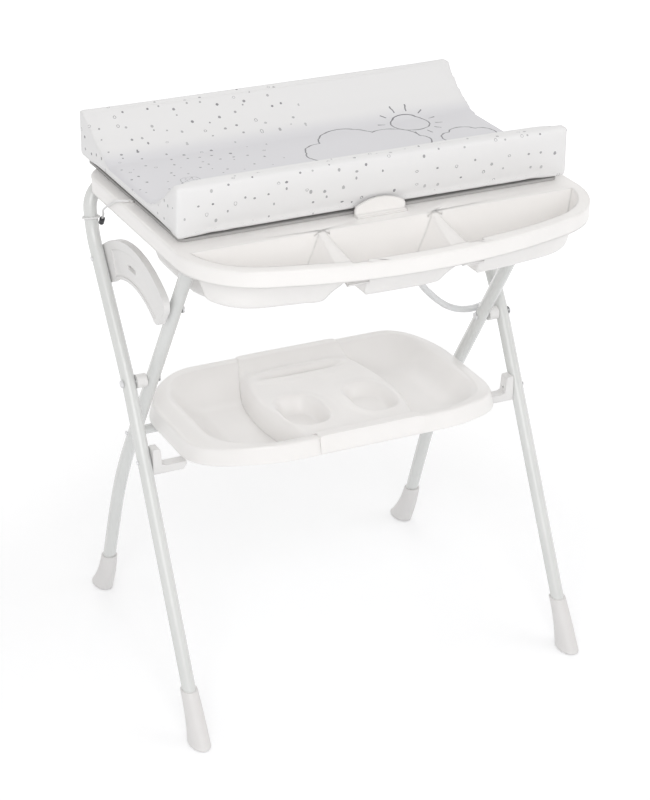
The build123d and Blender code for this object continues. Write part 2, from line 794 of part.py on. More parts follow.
floor_rise = mat_top_front - mat_floor
mat_profile = [
    (mat_front_y, mat_bottom),
    (mat_front_y, mat_top_front),
    (mat_front_y + mat_lip, mat_top_front - 0.03 * floor_rise),
    (mat_front_y + 0.94 * floor_rise + mat_lip / 2, mat_floor + 0.16 * floor_rise),
    (mat_front_y + 1.36 * floor_rise, mat_floor),
    (mat_back_y - 1.34 * floor_rise, mat_floor),
    (mat_back_y - 0.69 * floor_rise, mat_floor + 0.34 * floor_rise),
    (mat_back_y - 0.14 * floor_rise, mat_top_back - 0.03 * floor_rise),
    (mat_back_y - 0.04 * floor_rise, mat_top_back),
    (mat_back_y, mat_top_back - 0.04 * floor_rise),
    (mat_back_y, mat_bottom),
]
with BuildPart() as mat_cushion:
    with BuildSketch(Plane.YZ.offset(-mat_half_width)):
        with BuildLine():
            Polyline(*mat_profile, close=True)
        make_face()
    extrude(amount=2 * mat_half_width)

# Catch tab on the bath's ledge that keeps the mat's front down
catch_y = mat_front_y - seat_gap - catch_thick
with BuildPart() as mat_catch:
    catch_back = Plane(origin=(0, catch_y + catch_thick, rim_top), x_dir=(1, 0, 0), z_dir=(0, -1, 0))
    with BuildSketch(catch_back) as face:
        with BuildLine():
            shoulder = catch_height * 0.55
            Line((-catch_half_width, 0), (catch_half_width, 0))
            Line((catch_half_width, 0), (catch_half_width, shoulder))
            ThreePointArc(
                (catch_half_width, shoulder), (0, catch_height), (-catch_half_width, shoulder)
            )
            Line((-catch_half_width, shoulder), (-catch_half_width, 0))
        make_face()
        fillet(face.vertices().group_by(Axis.Y)[-1], radius=catch_height * 0.3)
    extrude(amount=catch_thick)
    with Locations((0, catch_y, rim_top)):
        Box(
            2 * catch_half_width,
            catch_foot,
            catch_thick,
            align=(Align.CENTER, Align.MAX, Align.MIN),
        )

# Drain: outlet through the basin's floor, ring nut under it, rubber plug in it
with BuildPart() as drain_outlet:
    spout_top = basin_floor - drain_body_length
    with BuildSketch(Plane((drain_x, drain_y, 0), x_dir=(1, 0, 0), z_dir=(0, -1, 0))):
        with BuildLine():
            Polyline(
                (drain_bore_radius, basin_floor + drain_flange_thick),
                (drain_flange_radius - drain_flange_thick, basin_floor + drain_flange_thick),
                (drain_flange_radius, basin_floor),
                (drain_hole_radius - seat_gap, basin_floor),
                (drain_hole_radius - seat_gap, spout_top - bath_wall),
                (drain_spout_radius, spout_top - 2 * bath_wall),
                (drain_spout_radius, spout_top - drain_spout_length),
                (drain_spout_radius - bath_wall / 2, spout_top - drain_spout_length),
                (drain_spout_radius - bath_wall / 2, spout_top),
                (drain_bore_radius, spout_top),
                close=True,
            )
        make_face()
    revolve(axis=Axis((drain_x, drain_y, 0), (0, 0, 1)))

with BuildPart() as drain_nut:
    with BuildSketch(Plane((drain_x, drain_y, basin_floor - bath_wall))):
        RegularPolygon(drain_nut_radius, 8)
        Circle(drain_hole_radius - seat_gap / 2, mode=Mode.SUBTRACT)
    extrude(amount=-drain_nut_thick)

with BuildPart() as drain_plug:
    plug_bottom = basin_floor + drain_flange_thick - plug_height
    with BuildSketch(Plane((drain_x, drain_y, plug_bottom))):
        Circle(drain_bore_radius - 4 * seat_gap)
    with BuildSketch(Plane((drain_x, drain_y, plug_bottom + plug_height))):
        Circle(drain_bore_radius - seat_gap)
    loft()
    with BuildSketch(Plane((drain_x, drain_y, plug_bottom + plug_height))):
        Circle(drain_bore_radius + drain_flange_thick)
    extrude(amount=drain_flange_thick, taper=20)
    with Locations((drain_x, drain_y, plug_bottom + plug_height)):
        Box(
            3 * plug_ring_thick,
            5 * plug_ring_thick,
            drain_flange_thick + 5 * plug_ring_thick,
            align=(Align.CENTER, Align.CENTER, Align.MIN),
        )
    eye_height = plug_bottom + plug_height + drain_flange_thick + 2.5 * plug_ring_thick
    with Locations(Location((drain_x, drain_y, eye_height), (0, 90, 0))):
        Cylinder(plug_ring_thick + seat_gap, 6 * plug_ring_thick, mode=Mode.SUBTRACT)

with BuildPart() as plug_ring:
    ring_height = eye_height + plug_ring_radius
    ring_axis = Axis((drain_x, drain_y, ring_height), (0, 1, 0))
    with BuildSketch(Plane(origin=(drain_x, drain_y, eye_height), x_dir=(0, 1, 0), z_dir=(1, 0, 0))):
        Circle(plug_ring_thick)
    revolve(axis=ring_axis)

# Drain hose: from the outlet, in a sagging sweep behind the right inner leg, to the right outer tube
hose_top = basin_floor - drain_body_length - drain_spout_length
hose_route = [
    (180, 20, hose_top),
    (180, 20, 721.5),
    (183.4, 21.3, 704.4),
    (190.4, 24, 688.6),
    (202.5, 28.6, 671.5),
    (221, 36, 652),
    (243, 43, 631),
    (269, 50, 611),
    (299, 58, 597),
    (330, 66, 590),
    (361, 75, 590),
    (386, 83, 596),
]


def cord_tube(points, radius):
    """A plain round cord along straight runs and large arcs."""
    radii = cord_radii(points)
    print("cord radii", [round(r, 1) for r in radii])
    with BuildPart() as cord:
        with BuildLine() as path:
            FilletPolyline(*points, radius=radii)
        route = path.wire()
        with BuildSketch(Plane(origin=route @ 0, z_dir=route % 0)):
            Circle(radius)
        sweep(path=route)
    print("cord length", round(route.length, 1))
    return cord


drain_hose = cord_tube(hose_route, hose_radius)
hose_end = Vector(hose_route[-1])
hose_way = (hose_end - Vector(hose_route[-2])).normalized()
with BuildPart() as hose_cap:
    with BuildSketch(Plane(origin=hose_end, z_dir=hose_way)):
        Circle(hose_radius + bath_wall / 2)
    extrude(amount=hose_cap_length, taper=8)

# Clip behind the right outer tube that holds the hose's end
clip_middle = hose_end - hose_way * hose_clip_width
tube_at_clip = Vector(
    outer_leg_x, pivot_y + lean_offset(clip_middle.Z - pivot_height, outer_upper_lean), clip_middle.Z
)
with BuildPart() as hose_clip:
    with BuildSketch(Plane(origin=clip_middle - hose_way * hose_clip_width / 2, z_dir=hose_way)):
        Circle(hose_radius + hose_clip_wall)
    extrude(amount=hose_clip_width)
    with Locations((clip_middle.X, (clip_middle.Y + tube_at_clip.Y) / 2, clip_middle.Z)):
        Box(hose_clip_width, clip_middle.Y - tube_at_clip.Y, 2 * hose_radius)
    with BuildSketch(Plane(origin=clip_middle - hose_way * hose_clip_width, z_dir=hose_way)):
        Circle(hose_radius + slim)
    extrude(amount=2 * hose_clip_width, mode=Mode.SUBTRACT)
    leg_way = Vector(0, math.sin(math.radians(outer_upper_lean)), math.cos(math.radians(outer_upper_lean)))
    with BuildSketch(Plane(origin=tube_at_clip - leg_way * 4 * tube_radius, z_dir=leg_way)):
        Circle(tube_radius + 6 * seat_gap)
    extrude(amount=8 * tube_radius, mode=Mode.SUBTRACT)

# Tie cord: from an anchor on the rim, over its left edge and back to the left outer tube
tie_route = [
    (-370, 45, 927.4),
    (-379, 47, 928.6),
    (-386.5, 53, 928),
    (-390.5, 64, 923),
    (-391, 80, 913.5),
    (-389.5, 103, 900),
    (-385.5, 128, 886.5),
    (-379, 153, 873),
    (-371, 174, 862),
    (-364, 190, 853),
    (-361, 200, 846),
    (-361, 204.5, 838.5),
]
tie_cord = cord_tube(tie_route, tie_radius)
with BuildPart() as tie_anchor_stud:
    with Locations((tie_route[0][0] + 2 * seat_gap, tie_route[0][1], rim_top)):
        Box(tie_anchor, tie_anchor * 2, tie_anchor_height, align=(Align.MIN, Align.CENTER, Align.MIN))
tie_end = Vector(tie_route[-1])
tie_way = (tie_end - Vector(tie_route[-2])).normalized()
with BuildPart() as tie_toggle:
    with BuildSketch(Plane(origin=tie_end, z_dir=tie_way)):
        Circle(toggle_radius)
    extrude(amount=toggle_length)
    fillet(tie_toggle.edges().filter_by(GeomType.CIRCLE), radius=toggle_radius / 3)

loop_y = knee_y + (loop_height - knee_height) * (bar_y - knee_y) / (bar_height - knee_height)
with BuildPart() as tie_loop:
    loop_middle = (-outer_leg_x, loop_y, loop_height)
    with BuildSketch(Plane(origin=loop_middle, x_dir=(1, 0, 0), z_dir=(0, -1, 0))):
        with Locations((tube_radius + tie_radius + slim / 2, 0)):
            Circle(tie_radius)
    revolve(axis=Axis(loop_middle, (0, loop_tilt_share, 1)))


# Shelf: a wide shallow tray with a flared skirt, whose rim sinks towards both ends
shelf_low = shelf_top - shelf_skirt - shelf_end_drop


def shelf_outline(inset):
    """The shelf from above at its lowest level, drawn inset from its edge."""
    half = shelf_half_width - inset
    front = shelf_front_y + inset
    back = shelf_back_y - inset
    with BuildSketch() as sketch:
        with Locations((0, (front + back) / 2)):
            Rectangle(2 * half, back - front)
        corners = sketch.vertices().group_by(Axis.Y)
        fillet(corners[0], radius=shelf_front_corner - inset)
        fillet(sketch.vertices().group_by(Axis.Y)[-1], radius=shelf_back_corner - inset)
    return sketch.sketch


def under_saddle(lowered):
    """All that lies under the rim's line as seen from the front, lowered by an amount."""
    level = shelf_top - lowered
    far = shelf_half_width + shelf_rim_width
    with BuildPart() as below:
        with BuildSketch(Plane.XZ):
            with BuildLine():
                Line((-shelf_level_half, level), (shelf_level_half, level))
                TangentArc((shelf_level_half, level), (far, level - shelf_end_drop), tangent=(1, 0))
                TangentArc((-shelf_level_half, level), (-far, level - shelf_end_drop), tangent=(-1, 0))
                Line((far, level - shelf_end_drop), (far, 0))
                Line((-far, level - shelf_end_drop), (-far, 0))
                Line((-far, 0), (far, 0))
            make_face()
        extrude(amount=shelf_half_width, both=True)
    return below.part


def shelf_block(inset, lowered):
    """The shelf filled solid, drawn inset from its outside and under a lowered rim."""
    with BuildPart() as block:
        with BuildSketch(Plane.XY.offset(shelf_low)):
            add(shelf_outline(inset))
        extrude(amount=shelf_top - shelf_low, taper=shelf_flare)
        add(under_saddle(lowered), mode=Mode.INTERSECT)
    return block.part


shelf_spread = lean_offset(shelf_top - shelf_low, shelf_flare)
shelf_mouth = shelf_spread + shelf_rim_width
hinge_seat = cross_tube_radius + seat_gap


def shelf_well(grow, rounding, deeper=0):
    """The shelf's wide basin, grown by the wall for its outside."""
    with BuildPart() as well:
        with BuildSketch(Plane.XY.offset(shelf_top)):
            add(shelf_outline(shelf_mouth - grow))
        extrude(amount=-shelf_basin_depth - grow - deeper, taper=shelf_basin_draft)
        fillet(well.faces().sort_by(Axis.Z)[0].edges(), radius=rounding)
    return well.part


with BuildPart() as well_outside:
    add(shelf_well(shelf_wall, shelf_basin_round + shelf_wall))
    add(under_saddle(0), mode=Mode.INTERSECT)

with BuildPart() as shelf_tray:
    add(shelf_block(0, 0))
    add(shelf_block(shelf_wall, shelf_wall), mode=Mode.SUBTRACT)
    add(under_saddle(shelf_skirt), mode=Mode.SUBTRACT)
    for side in (-1, 1):
        with Locations((side * (shelf_half_width + shelf_rim_width), hook_y, hook_seat_height + seat_gap)):
            Box(
                4 * shelf_rim_width,
                hook_length + 2 * shelf_end_notch,
                2 * shelf_skirt,
                align=(Align.CENTER, Align.CENTER, Align.MAX),
                mode=Mode.SUBTRACT,
            )
    add(well_outside.part)
    add(shelf_well(0, shelf_basin_round), mode=Mode.SUBTRACT)

with BuildPart() as shelf_clips:
    clip_radius = hinge_seat + shelf_clip_wall
    clip_top = shelf_top - shelf_basin_depth + shelf_clip_reach
    for side in (-1, 1):
        with BuildSketch(Plane.YZ.offset(side * shelf_clip_x - shelf_clip_width / 2)):
            with Locations((shelf_pivot_y, shelf_pivot_height)):
                Circle(clip_radius)
            with Locations((shelf_pivot_y - clip_radius, shelf_pivot_height)):
                Rectangle(
                    clip_block_share * clip_radius,
                    clip_top - shelf_pivot_height,
                    align=(Align.MIN, Align.MIN),
                )
            with Locations((shelf_pivot_y, shelf_pivot_height)):
                Circle(hinge_seat, mode=Mode.SUBTRACT)
            with Locations((shelf_pivot_y, shelf_pivot_height)):
                Rectangle(
                    clip_block_share * cross_tube_radius,
                    3 * clip_radius,
                    align=(Align.CENTER, Align.MAX),
                    mode=Mode.SUBTRACT,
                )
        extrude(amount=shelf_clip_width)
    add(shelf_well(shelf_wall + seat_gap, shelf_basin_round + shelf_wall), mode=Mode.SUBTRACT)

# Caddy: a saddle over the shelf's middle, with two oval cups and a long soap groove
caddy_top = shelf_top + seat_gap + caddy_rise
caddy_back = shelf_back_y - shelf_spread - caddy_rise
caddy_front = shelf_front_y + shelf_spread + caddy_rise
deck_top = shelf_top - caddy_step
deck_under = deck_top - caddy_thick
inner_back = shelf_back_y - shelf_mouth
inner_front = shelf_front_y + shelf_mouth


def caddy_outline(inset):
    """The caddy from above: narrow at both rims, with a round belly on each side."""
    neck = caddy_half_width - inset
    belly = caddy_belly - inset
    with BuildSketch() as sketch:
        with BuildLine():
            for side in (-1, 1):
                ThreePointArc(
                    (side * neck, inner_back),
                    (side * belly, (inner_back + inner_front) / 2),
                    (side * neck, inner_front),
                )
            Line((-neck, inner_back), (neck, inner_back))
            Line((-neck, inner_front), (neck, inner_front))
        make_face()
    return sketch.sketch


def caddy_block(inset, deeper, low, high):
    """The caddy's outline between two heights, kept inside the shelf's basin."""
    with BuildPart() as block:
        with BuildSketch(Plane.XY.offset(low)):
            add(caddy_outline(inset))
        extrude(amount=high - low)
        add(shelf_well(-seat_gap - inset, shelf_basin_round - inset, deeper), mode=Mode.INTERSECT)
    return block.part


def caddy_dip(middle_x, middle_y, length_x, length_y, depth, grow):
    """A drafted pocket in the caddy's deck with round ends."""
    with BuildPart() as dip:
        with BuildSketch(Plane((middle_x, middle_y, deck_top))):
            size = min(length_x, length_y) + 2 * grow
            RectangleRounded(length_x + 2 * grow, length_y + 2 * grow, size / 2 - slim)
        extrude(amount=-depth - grow, taper=cup_draft)
    return dip.part


caddy_dips = [
    (-cup_x, cup_y, 2 * cup_half_width, 2 * cup_half_length, cup_depth),
    (cup_x, cup_y, 2 * cup_half_width, 2 * cup_half_length, cup_depth),
    (0, bar_recess_y, bar_recess_length, bar_recess_width, bar_recess_depth),
]
with BuildPart() as shelf_caddy:
    add(caddy_block(0, 0, shelf_top - shelf_basin_depth, shelf_top))
    with BuildSketch(Plane.XY.offset(shelf_top)):
        with Locations((0, (caddy_back + caddy_front) / 2)):
            Rectangle(2 * caddy_half_width, caddy_back - caddy_front)
    extrude(amount=caddy_rise + seat_gap)
    with BuildSketch(Plane.XY.offset(shelf_top)):
        add(shelf_outline(0))
        add(shelf_outline(shelf_mouth + seat_gap), mode=Mode.SUBTRACT)
    extrude(amount=seat_gap, mode=Mode.SUBTRACT)
    with BuildSketch(Plane.YZ):
        flap_foot = shelf_top - shelf_skirt + caddy_flap_rise
        near_top = shelf_front_y + shelf_spread - seat_gap
        near_foot = near_top - lean_offset(shelf_top - flap_foot, shelf_flare)
        with BuildLine():
            Polyline(
                (caddy_front, shelf_top + seat_gap),
                (near_top, shelf_top + seat_gap),
                (near_foot, flap_foot),
                (near_foot - caddy_rise, flap_foot),
                (near_top - caddy_rise, shelf_top + seat_gap),
                (near_top, caddy_top),
                (caddy_front, caddy_top),
                close=True,
            )
        make_face()
    extrude(amount=caddy_half_width, both=True)
    with BuildSketch(Plane.XY.offset(deck_top)):
        with Locations((0, (inner_back + inner_front) / 2)):
            deck_slope = lean_offset(caddy_step, shelf_basin_draft)
            deck_length = inner_back - inner_front - 2 * (deck_slope + 2 * caddy_thick)
            Rectangle(4 * caddy_half_width, deck_length)
    extrude(amount=3 * caddy_step, taper=-shelf_basin_draft, mode=Mode.SUBTRACT)
    hollow_low = shelf_top - 2 * shelf_basin_depth
    add(caddy_block(caddy_thick, 2 * shelf_wall, hollow_low, deck_under), mode=Mode.SUBTRACT)
    for dip in caddy_dips:
        add(caddy_dip(*dip, caddy_thick))
    for dip in caddy_dips:
        add(caddy_dip(*dip, 0), mode=Mode.SUBTRACT)

for name, piece in {
    "outer_frame_tube": outer_frame_tube,
    "pivot_bolts": pivot_bolts,
    "pivot_spacers": pivot_spacers,
    "pivot_nuts": pivot_nuts,
    "lock_sector": lock_sector,
    "sector_screws": sector_screws,
    "guide_pin": guide_pin,
    "hook_screws": hook_screws,
    "cross_tube": cross_tube,
    "cross_bolts": cross_bolts,
    "tub_shell": tub_shell,
    "hinge_brackets": hinge_brackets,
    "hinge_leaves": hinge_leaves,
    "hinge_pins": hinge_pins,
    "mat_board": mat_board,
    "mat_cushion": mat_cushion,
    "mat_catch": mat_catch,
    "drain_outlet": drain_outlet,
    "drain_nut": drain_nut,
    "drain_plug": drain_plug,
    "plug_ring": plug_ring,
    "drain_hose": drain_hose,
    "hose_cap": hose_cap,
    "hose_clip": hose_clip,
    "tie_cord": tie_cord,
    "tie_anchor_stud": tie_anchor_stud,
    "tie_toggle": tie_toggle,
    "tie_loop": tie_loop,
    "shelf_tray": shelf_tray,
    "shelf_clips": shelf_clips,
    "shelf_caddy": shelf_caddy,
}.items():
    piece.part.label = name

pieces = [
    outer_frame_tube, pivot_bolts, pivot_spacers, pivot_nuts, lock_sector, sector_screws, guide_pin,
    hook_screws, cross_tube, cross_bolts, tub_shell, hinge_brackets, hinge_leaves, hinge_pins,
    mat_board, mat_cushion, mat_catch, drain_outlet, drain_nut, drain_plug, plug_ring, drain_hose,
    hose_cap, hose_clip, tie_cord, tie_anchor_stud, tie_toggle, tie_loop, shelf_tray, shelf_clips,
    shelf_caddy, inner_leg_left, inner_leg_right, *feet, *hooks, *shoes, *saddles,
]
for piece in pieces:
    export_step(piece.part, "parts/" + piece.part.label + ".step")
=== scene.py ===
import bpy
import bmesh
import math
import numpy as np
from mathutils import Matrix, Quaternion, Vector


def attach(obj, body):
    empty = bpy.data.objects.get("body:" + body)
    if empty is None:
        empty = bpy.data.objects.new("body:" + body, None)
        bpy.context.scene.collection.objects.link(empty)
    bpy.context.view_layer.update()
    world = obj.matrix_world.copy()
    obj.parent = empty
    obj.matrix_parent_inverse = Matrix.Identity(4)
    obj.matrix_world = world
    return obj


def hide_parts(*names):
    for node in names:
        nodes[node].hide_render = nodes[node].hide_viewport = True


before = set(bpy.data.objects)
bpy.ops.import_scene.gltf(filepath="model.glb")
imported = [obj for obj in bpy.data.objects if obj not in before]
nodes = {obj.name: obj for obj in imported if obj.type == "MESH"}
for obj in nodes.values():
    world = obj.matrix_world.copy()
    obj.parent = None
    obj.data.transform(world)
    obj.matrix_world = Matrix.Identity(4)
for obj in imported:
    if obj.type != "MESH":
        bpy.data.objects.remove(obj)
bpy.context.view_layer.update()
print("stage 1: frame loaded,", len(nodes), "nodes")

cameraSet = {
    "place": (-1.69565, -3.457, 2.35388),
    "aim": (-0.0093, 0.008, 0.4902),
    "roll": 0.496,  # degrees
    "lens": 104.02,
}


def makeCamera():
    data = bpy.data.cameras.new("photoCamera")
    data.lens = cameraSet["lens"]
    data.sensor_width = 36
    data.clip_end = 60
    camera = bpy.data.objects.new("photoCamera", data)
    place, aim = Vector(cameraSet["place"]), Vector(cameraSet["aim"])
    turn = (aim - place).to_track_quat("-Z", "Y")
    camera.rotation_mode = "QUATERNION"
    camera.rotation_quaternion = turn @ Quaternion((0, 0, 1), math.radians(cameraSet["roll"]))
    camera.location = place
    bpy.context.collection.objects.link(camera)
    bpy.context.scene.camera = camera
    bpy.context.scene.view_settings.view_transform = "Standard"


makeCamera()

lightSet = {
    # name: (place, aim, size, watts)
    "keyPanel": ((-1.5, -3.0, 2.4), (0, 0, 0.6), 2.2, 40),
    "fillPanel": ((2.6, -1.6, 2.2), (0, 0, 0.6), 2.4, 12),
    "backPanel": ((0.6, 2.6, 3.0), (0, 0, 0.7), 2.0, 8),
}


def makeLamps():
    for name, (place, aim, size, watts) in lightSet.items():
        data = bpy.data.lights.new(name, "AREA")
        data.shape = "SQUARE"
        data.size = size
        data.energy = watts
        lamp = bpy.data.objects.new(name, data)
        lamp.location = place
        lamp.rotation_euler = (Vector(aim) - Vector(place)).to_track_quat("-Z", "Y").to_euler()
        bpy.context.collection.objects.link(lamp)


makeLamps()


def addNode(tree, kind, **settings):
    node = tree.nodes.new(kind)
    for key, value in settings.items():
        setattr(node, key, value)
    return node


def cameraSeesWhite(tree):
    # 1 for what the camera sees, by itself or in a reflection, and 0 for light on the object
    path = addNode(tree, "ShaderNodeLightPath")
    either = addNode(tree, "ShaderNodeMath", operation="MAXIMUM")
    both = addNode(tree, "ShaderNodeMath", operation="MAXIMUM")
    tree.links.new(path.outputs["Is Camera Ray"], either.inputs[0])
    tree.links.new(path.outputs["Is Glossy Ray"], either.inputs[1])
    tree.links.new(either.outputs[0], both.inputs[0])
    tree.links.new(path.outputs["Is Transmission Ray"], both.inputs[1])
    return both.outputs[0]


skySet = {"color": (1.0, 0.985, 0.97), "strength": 0.72}


def makeSky():
    world = bpy.data.worlds.new("softSky")
    world.use_nodes = True
    bpy.context.scene.world = world
    tree = world.node_tree
    tree.nodes.clear()
    soft = addNode(tree, "ShaderNodeBackground")
    soft.inputs["Color"].default_value = (*skySet["color"], 1)
    soft.inputs["Strength"].default_value = skySet["strength"]
    white = addNode(tree, "ShaderNodeBackground")
    white.inputs["Color"].default_value = (1, 1, 1, 1)
    white.inputs["Strength"].default_value = 1.0
    mix = addNode(tree, "ShaderNodeMixShader")
    out = addNode(tree, "ShaderNodeOutputWorld")
    tree.links.new(cameraSeesWhite(tree), mix.inputs[0])
    tree.links.new(soft.outputs[0], mix.inputs[1])
    tree.links.new(white.outputs[0], mix.inputs[2])
    tree.links.new(mix.outputs[0], out.inputs[0])


makeSky()

floorSet = {
    "half": 14.0, "level": -0.0006,
    "color": (0.92, 0.93, 0.945), "roughness": 0.6, "specular": 0.1,
    # the floor's own light grows with the distance from the table, so that only the shadows near it show
    "glow": {"From Min": 0.7, "From Max": 2.4, "To Min": 0.18, "To Max": 0.5},
}


def makeFloor():
    r, z = floorSet["half"], floorSet["level"]
    mesh = bpy.data.meshes.new("studioFloor")
    mesh.from_pydata([(-r, -r, z), (r, -r, z), (r, r, z), (-r, r, z)], [], [(0, 1, 2, 3)])
    floor = bpy.data.objects.new("studioFloor", mesh)
    bpy.context.collection.objects.link(floor)
    mat = bpy.data.materials.new("paleFloor")
    mat.use_nodes = True
    tree = mat.node_tree
    shader = tree.nodes["Principled BSDF"]
    shader.inputs["Base Color"].default_value = (*floorSet["color"], 1)
    shader.inputs["Roughness"].default_value = floorSet["roughness"]
    shader.inputs["Specular IOR Level"].default_value = floorSet["specular"]
    coord = addNode(tree, "ShaderNodeTexCoord")
    reach = addNode(tree, "ShaderNodeVectorMath", operation="LENGTH")
    ramp = addNode(tree, "ShaderNodeMapRange")
    for key, value in floorSet["glow"].items():
        ramp.inputs[key].default_value = value
    tree.links.new(coord.outputs["Object"], reach.inputs[0])
    tree.links.new(reach.outputs["Value"], ramp.inputs["Value"])
    glow = addNode(tree, "ShaderNodeMath", operation="MULTIPLY")
    tree.links.new(cameraSeesWhite(tree), glow.inputs[0])
    tree.links.new(ramp.outputs[0], glow.inputs[1])
    shader.inputs["Emission Color"].default_value = (1, 1, 1, 1)
    tree.links.new(glow.outputs[0], shader.inputs["Emission Strength"])
    mesh.materials.append(mat)


makeFloor()
print("stage 2: camera, lamps and floor")


def newFinish(name, color, roughness, **extra):
    mat = bpy.data.materials.new(name)
    mat.use_nodes = True
    tree = mat.node_tree
    shader = tree.nodes["Principled BSDF"]
    shader.inputs["Base Color"].default_value = (*color, 1)
    shader.inputs["Roughness"].default_value = roughness
    for key, value in extra.items():
        shader.inputs[key.replace("_", " ")].default_value = value
    return mat, tree, shader


def grain(tree, shader, scale, strength, distance, detail=4.0, edge=0.0):
    # fine bumps on the surface from a noise pattern, over edges that look rounded by the given radius
    coord = addNode(tree, "ShaderNodeTexCoord")
    noise = addNode(tree, "ShaderNodeTexNoise")
    noise.inputs["Scale"].default_value = scale
    noise.inputs["Detail"].default_value = detail
    bump = addNode(tree, "ShaderNodeBump")
    bump.inputs["Strength"].default_value = strength
    bump.inputs["Distance"].default_value = distance
    tree.links.new(coord.outputs["Object"], noise.inputs["Vector"])
    tree.links.new(noise.outputs["Fac"], bump.inputs["Height"])
    if edge:
        soft = addNode(tree, "ShaderNodeBevel", samples=6)
        soft.inputs["Radius"].default_value = edge
        tree.links.new(soft.outputs["Normal"], bump.inputs["Normal"])
    tree.links.new(bump.outputs["Normal"], shader.inputs["Normal"])
    return coord


def tint(tree, shader, coord, scale, dark, light):
    # slow drift of the colour over the surface
    drift = addNode(tree, "ShaderNodeTexNoise")
    drift.inputs["Scale"].default_value = scale
    drift.inputs["Detail"].default_value = 3.0
    ramp = addNode(tree, "ShaderNodeValToRGB")
    ramp.color_ramp.elements[0].position = 0.3
    ramp.color_ramp.elements[1].position = 0.7
    ramp.color_ramp.elements[0].color = (*dark, 1)
    ramp.color_ramp.elements[1].color = (*light, 1)
    tree.links.new(coord.outputs["Object"], drift.inputs["Vector"])
    tree.links.new(drift.outputs["Fac"], ramp.inputs["Fac"])
    tree.links.new(ramp.outputs["Color"], shader.inputs["Base Color"])


def mouldedFinish(name, dark, light, roughness, coat, edge):
    mat, tree, shader = newFinish(name, light, roughness, Coat_Weight=coat, Coat_Roughness=0.15)
    coord = grain(tree, shader, 900, 0.12, 0.0002, edge=edge)
    tint(tree, shader, coord, 9.0, dark, light)
    return mat


def metalFinish(name, color, roughness):
    mat, tree, shader = newFinish(name, color, roughness, Metallic=1.0)
    coord = grain(tree, shader, 1400, 0.15, 0.0001, 2.0)
    tint(tree, shader, coord, 60.0, [c * 0.9 for c in color], color)
    return mat


def hoseFinish(name):
    # cloudy flexible tube: light passes in a little at the edges
    mat, tree, shader = newFinish(name, (0.78, 0.79, 0.80), 0.28, Coat_Weight=0.4, Coat_Roughness=0.12)
    shader.inputs["Subsurface Weight"].default_value = 0.35
    shader.inputs["Subsurface Radius"].default_value = (0.02, 0.02, 0.02)
    shader.inputs["Subsurface Scale"].default_value = 0.3
    grain(tree, shader, 240, 0.1, 0.0003, 2.0)
    return mat


def cordFinish(name):
    # braided cord: two sets of waves across the cord, leaning opposite ways, and the higher one shows
    mat, tree, shader = newFinish(name, (0.86, 0.86, 0.86), 0.8, Sheen_Weight=0.3)
    coord = addNode(tree, "ShaderNodeTexCoord")
    waves = []
    for tilt in (0.6, -0.6):
        turn = addNode(tree, "ShaderNodeMapping")
        turn.inputs["Rotation"].default_value = (tilt, tilt, 0.3)
        wave = addNode(tree, "ShaderNodeTexWave", bands_direction="Z")
        wave.inputs["Scale"].default_value = 260
        wave.inputs["Distortion"].default_value = 0.6
        tree.links.new(coord.outputs["Object"], turn.inputs["Vector"])
        tree.links.new(turn.outputs["Vector"], wave.inputs["Vector"])
        waves.append(wave.outputs["Fac"])
    both = addNode(tree, "ShaderNodeMath", operation="MAXIMUM")
    tree.links.new(waves[0], both.inputs[0])
    tree.links.new(waves[1], both.inputs[1])
    bump = addNode(tree, "ShaderNodeBump")
    bump.inputs["Strength"].default_value = 0.7
    bump.inputs["Distance"].default_value = 0.0004
    tree.links.new(both.outputs[0], bump.inputs["Height"])
    tree.links.new(bump.outputs["Normal"], shader.inputs["Normal"])
    return mat


mouldedSet = {
    # name: (darker colour, lighter colour, roughness, coat, radius of the edges that look rounded)
    "powderCoat": ((0.69, 0.702, 0.692), (0.73, 0.742, 0.732), 0.26, 0.6, 0.0),
    "footPlastic": ((0.74, 0.73, 0.725), (0.78, 0.77, 0.765), 0.42, 0.0, 0.0),
    "whitePlastic": ((0.8, 0.795, 0.79), (0.83, 0.825, 0.82), 0.35, 0.0, 0.0015),
    "bathPlastic": ((0.875, 0.862, 0.85), (0.90, 0.887, 0.875), 0.3, 0.12, 0.006),
    "shelfPlastic": ((0.895, 0.882, 0.872), (0.92, 0.908, 0.898), 0.3, 0.1, 0.0),
    # the mat board's mid grey is partly painted shade: the real board is drawn dark to stand for the
    # shadow line in the gap under the mat
    "boardShadeGrey": ((0.38, 0.375, 0.37), (0.42, 0.415, 0.41), 0.75, 0.0, 0.0),
    "drainPlastic": ((0.78, 0.79, 0.8), (0.83, 0.84, 0.85), 0.4, 0.0, 0.0),
    "plugRubber": ((0.7, 0.7, 0.71), (0.76, 0.76, 0.77), 0.6, 0.0, 0.0),
    "toggleBlack": ((0.03, 0.03, 0.035), (0.05, 0.05, 0.055), 0.4, 0.0, 0.0),
}
finishes = {name: mouldedFinish(name, *values) for name, values in mouldedSet.items()}
finishes["zincSteel"] = metalFinish("zincSteel", (0.72, 0.72, 0.73), 0.3)
finishes["brightRing"] = metalFinish("brightRing", (0.85, 0.85, 0.86), 0.12)
finishes["hoseClear"] = hoseFinish("hoseClear")
finishes["cordWeave"] = cordFinish("cordWeave")

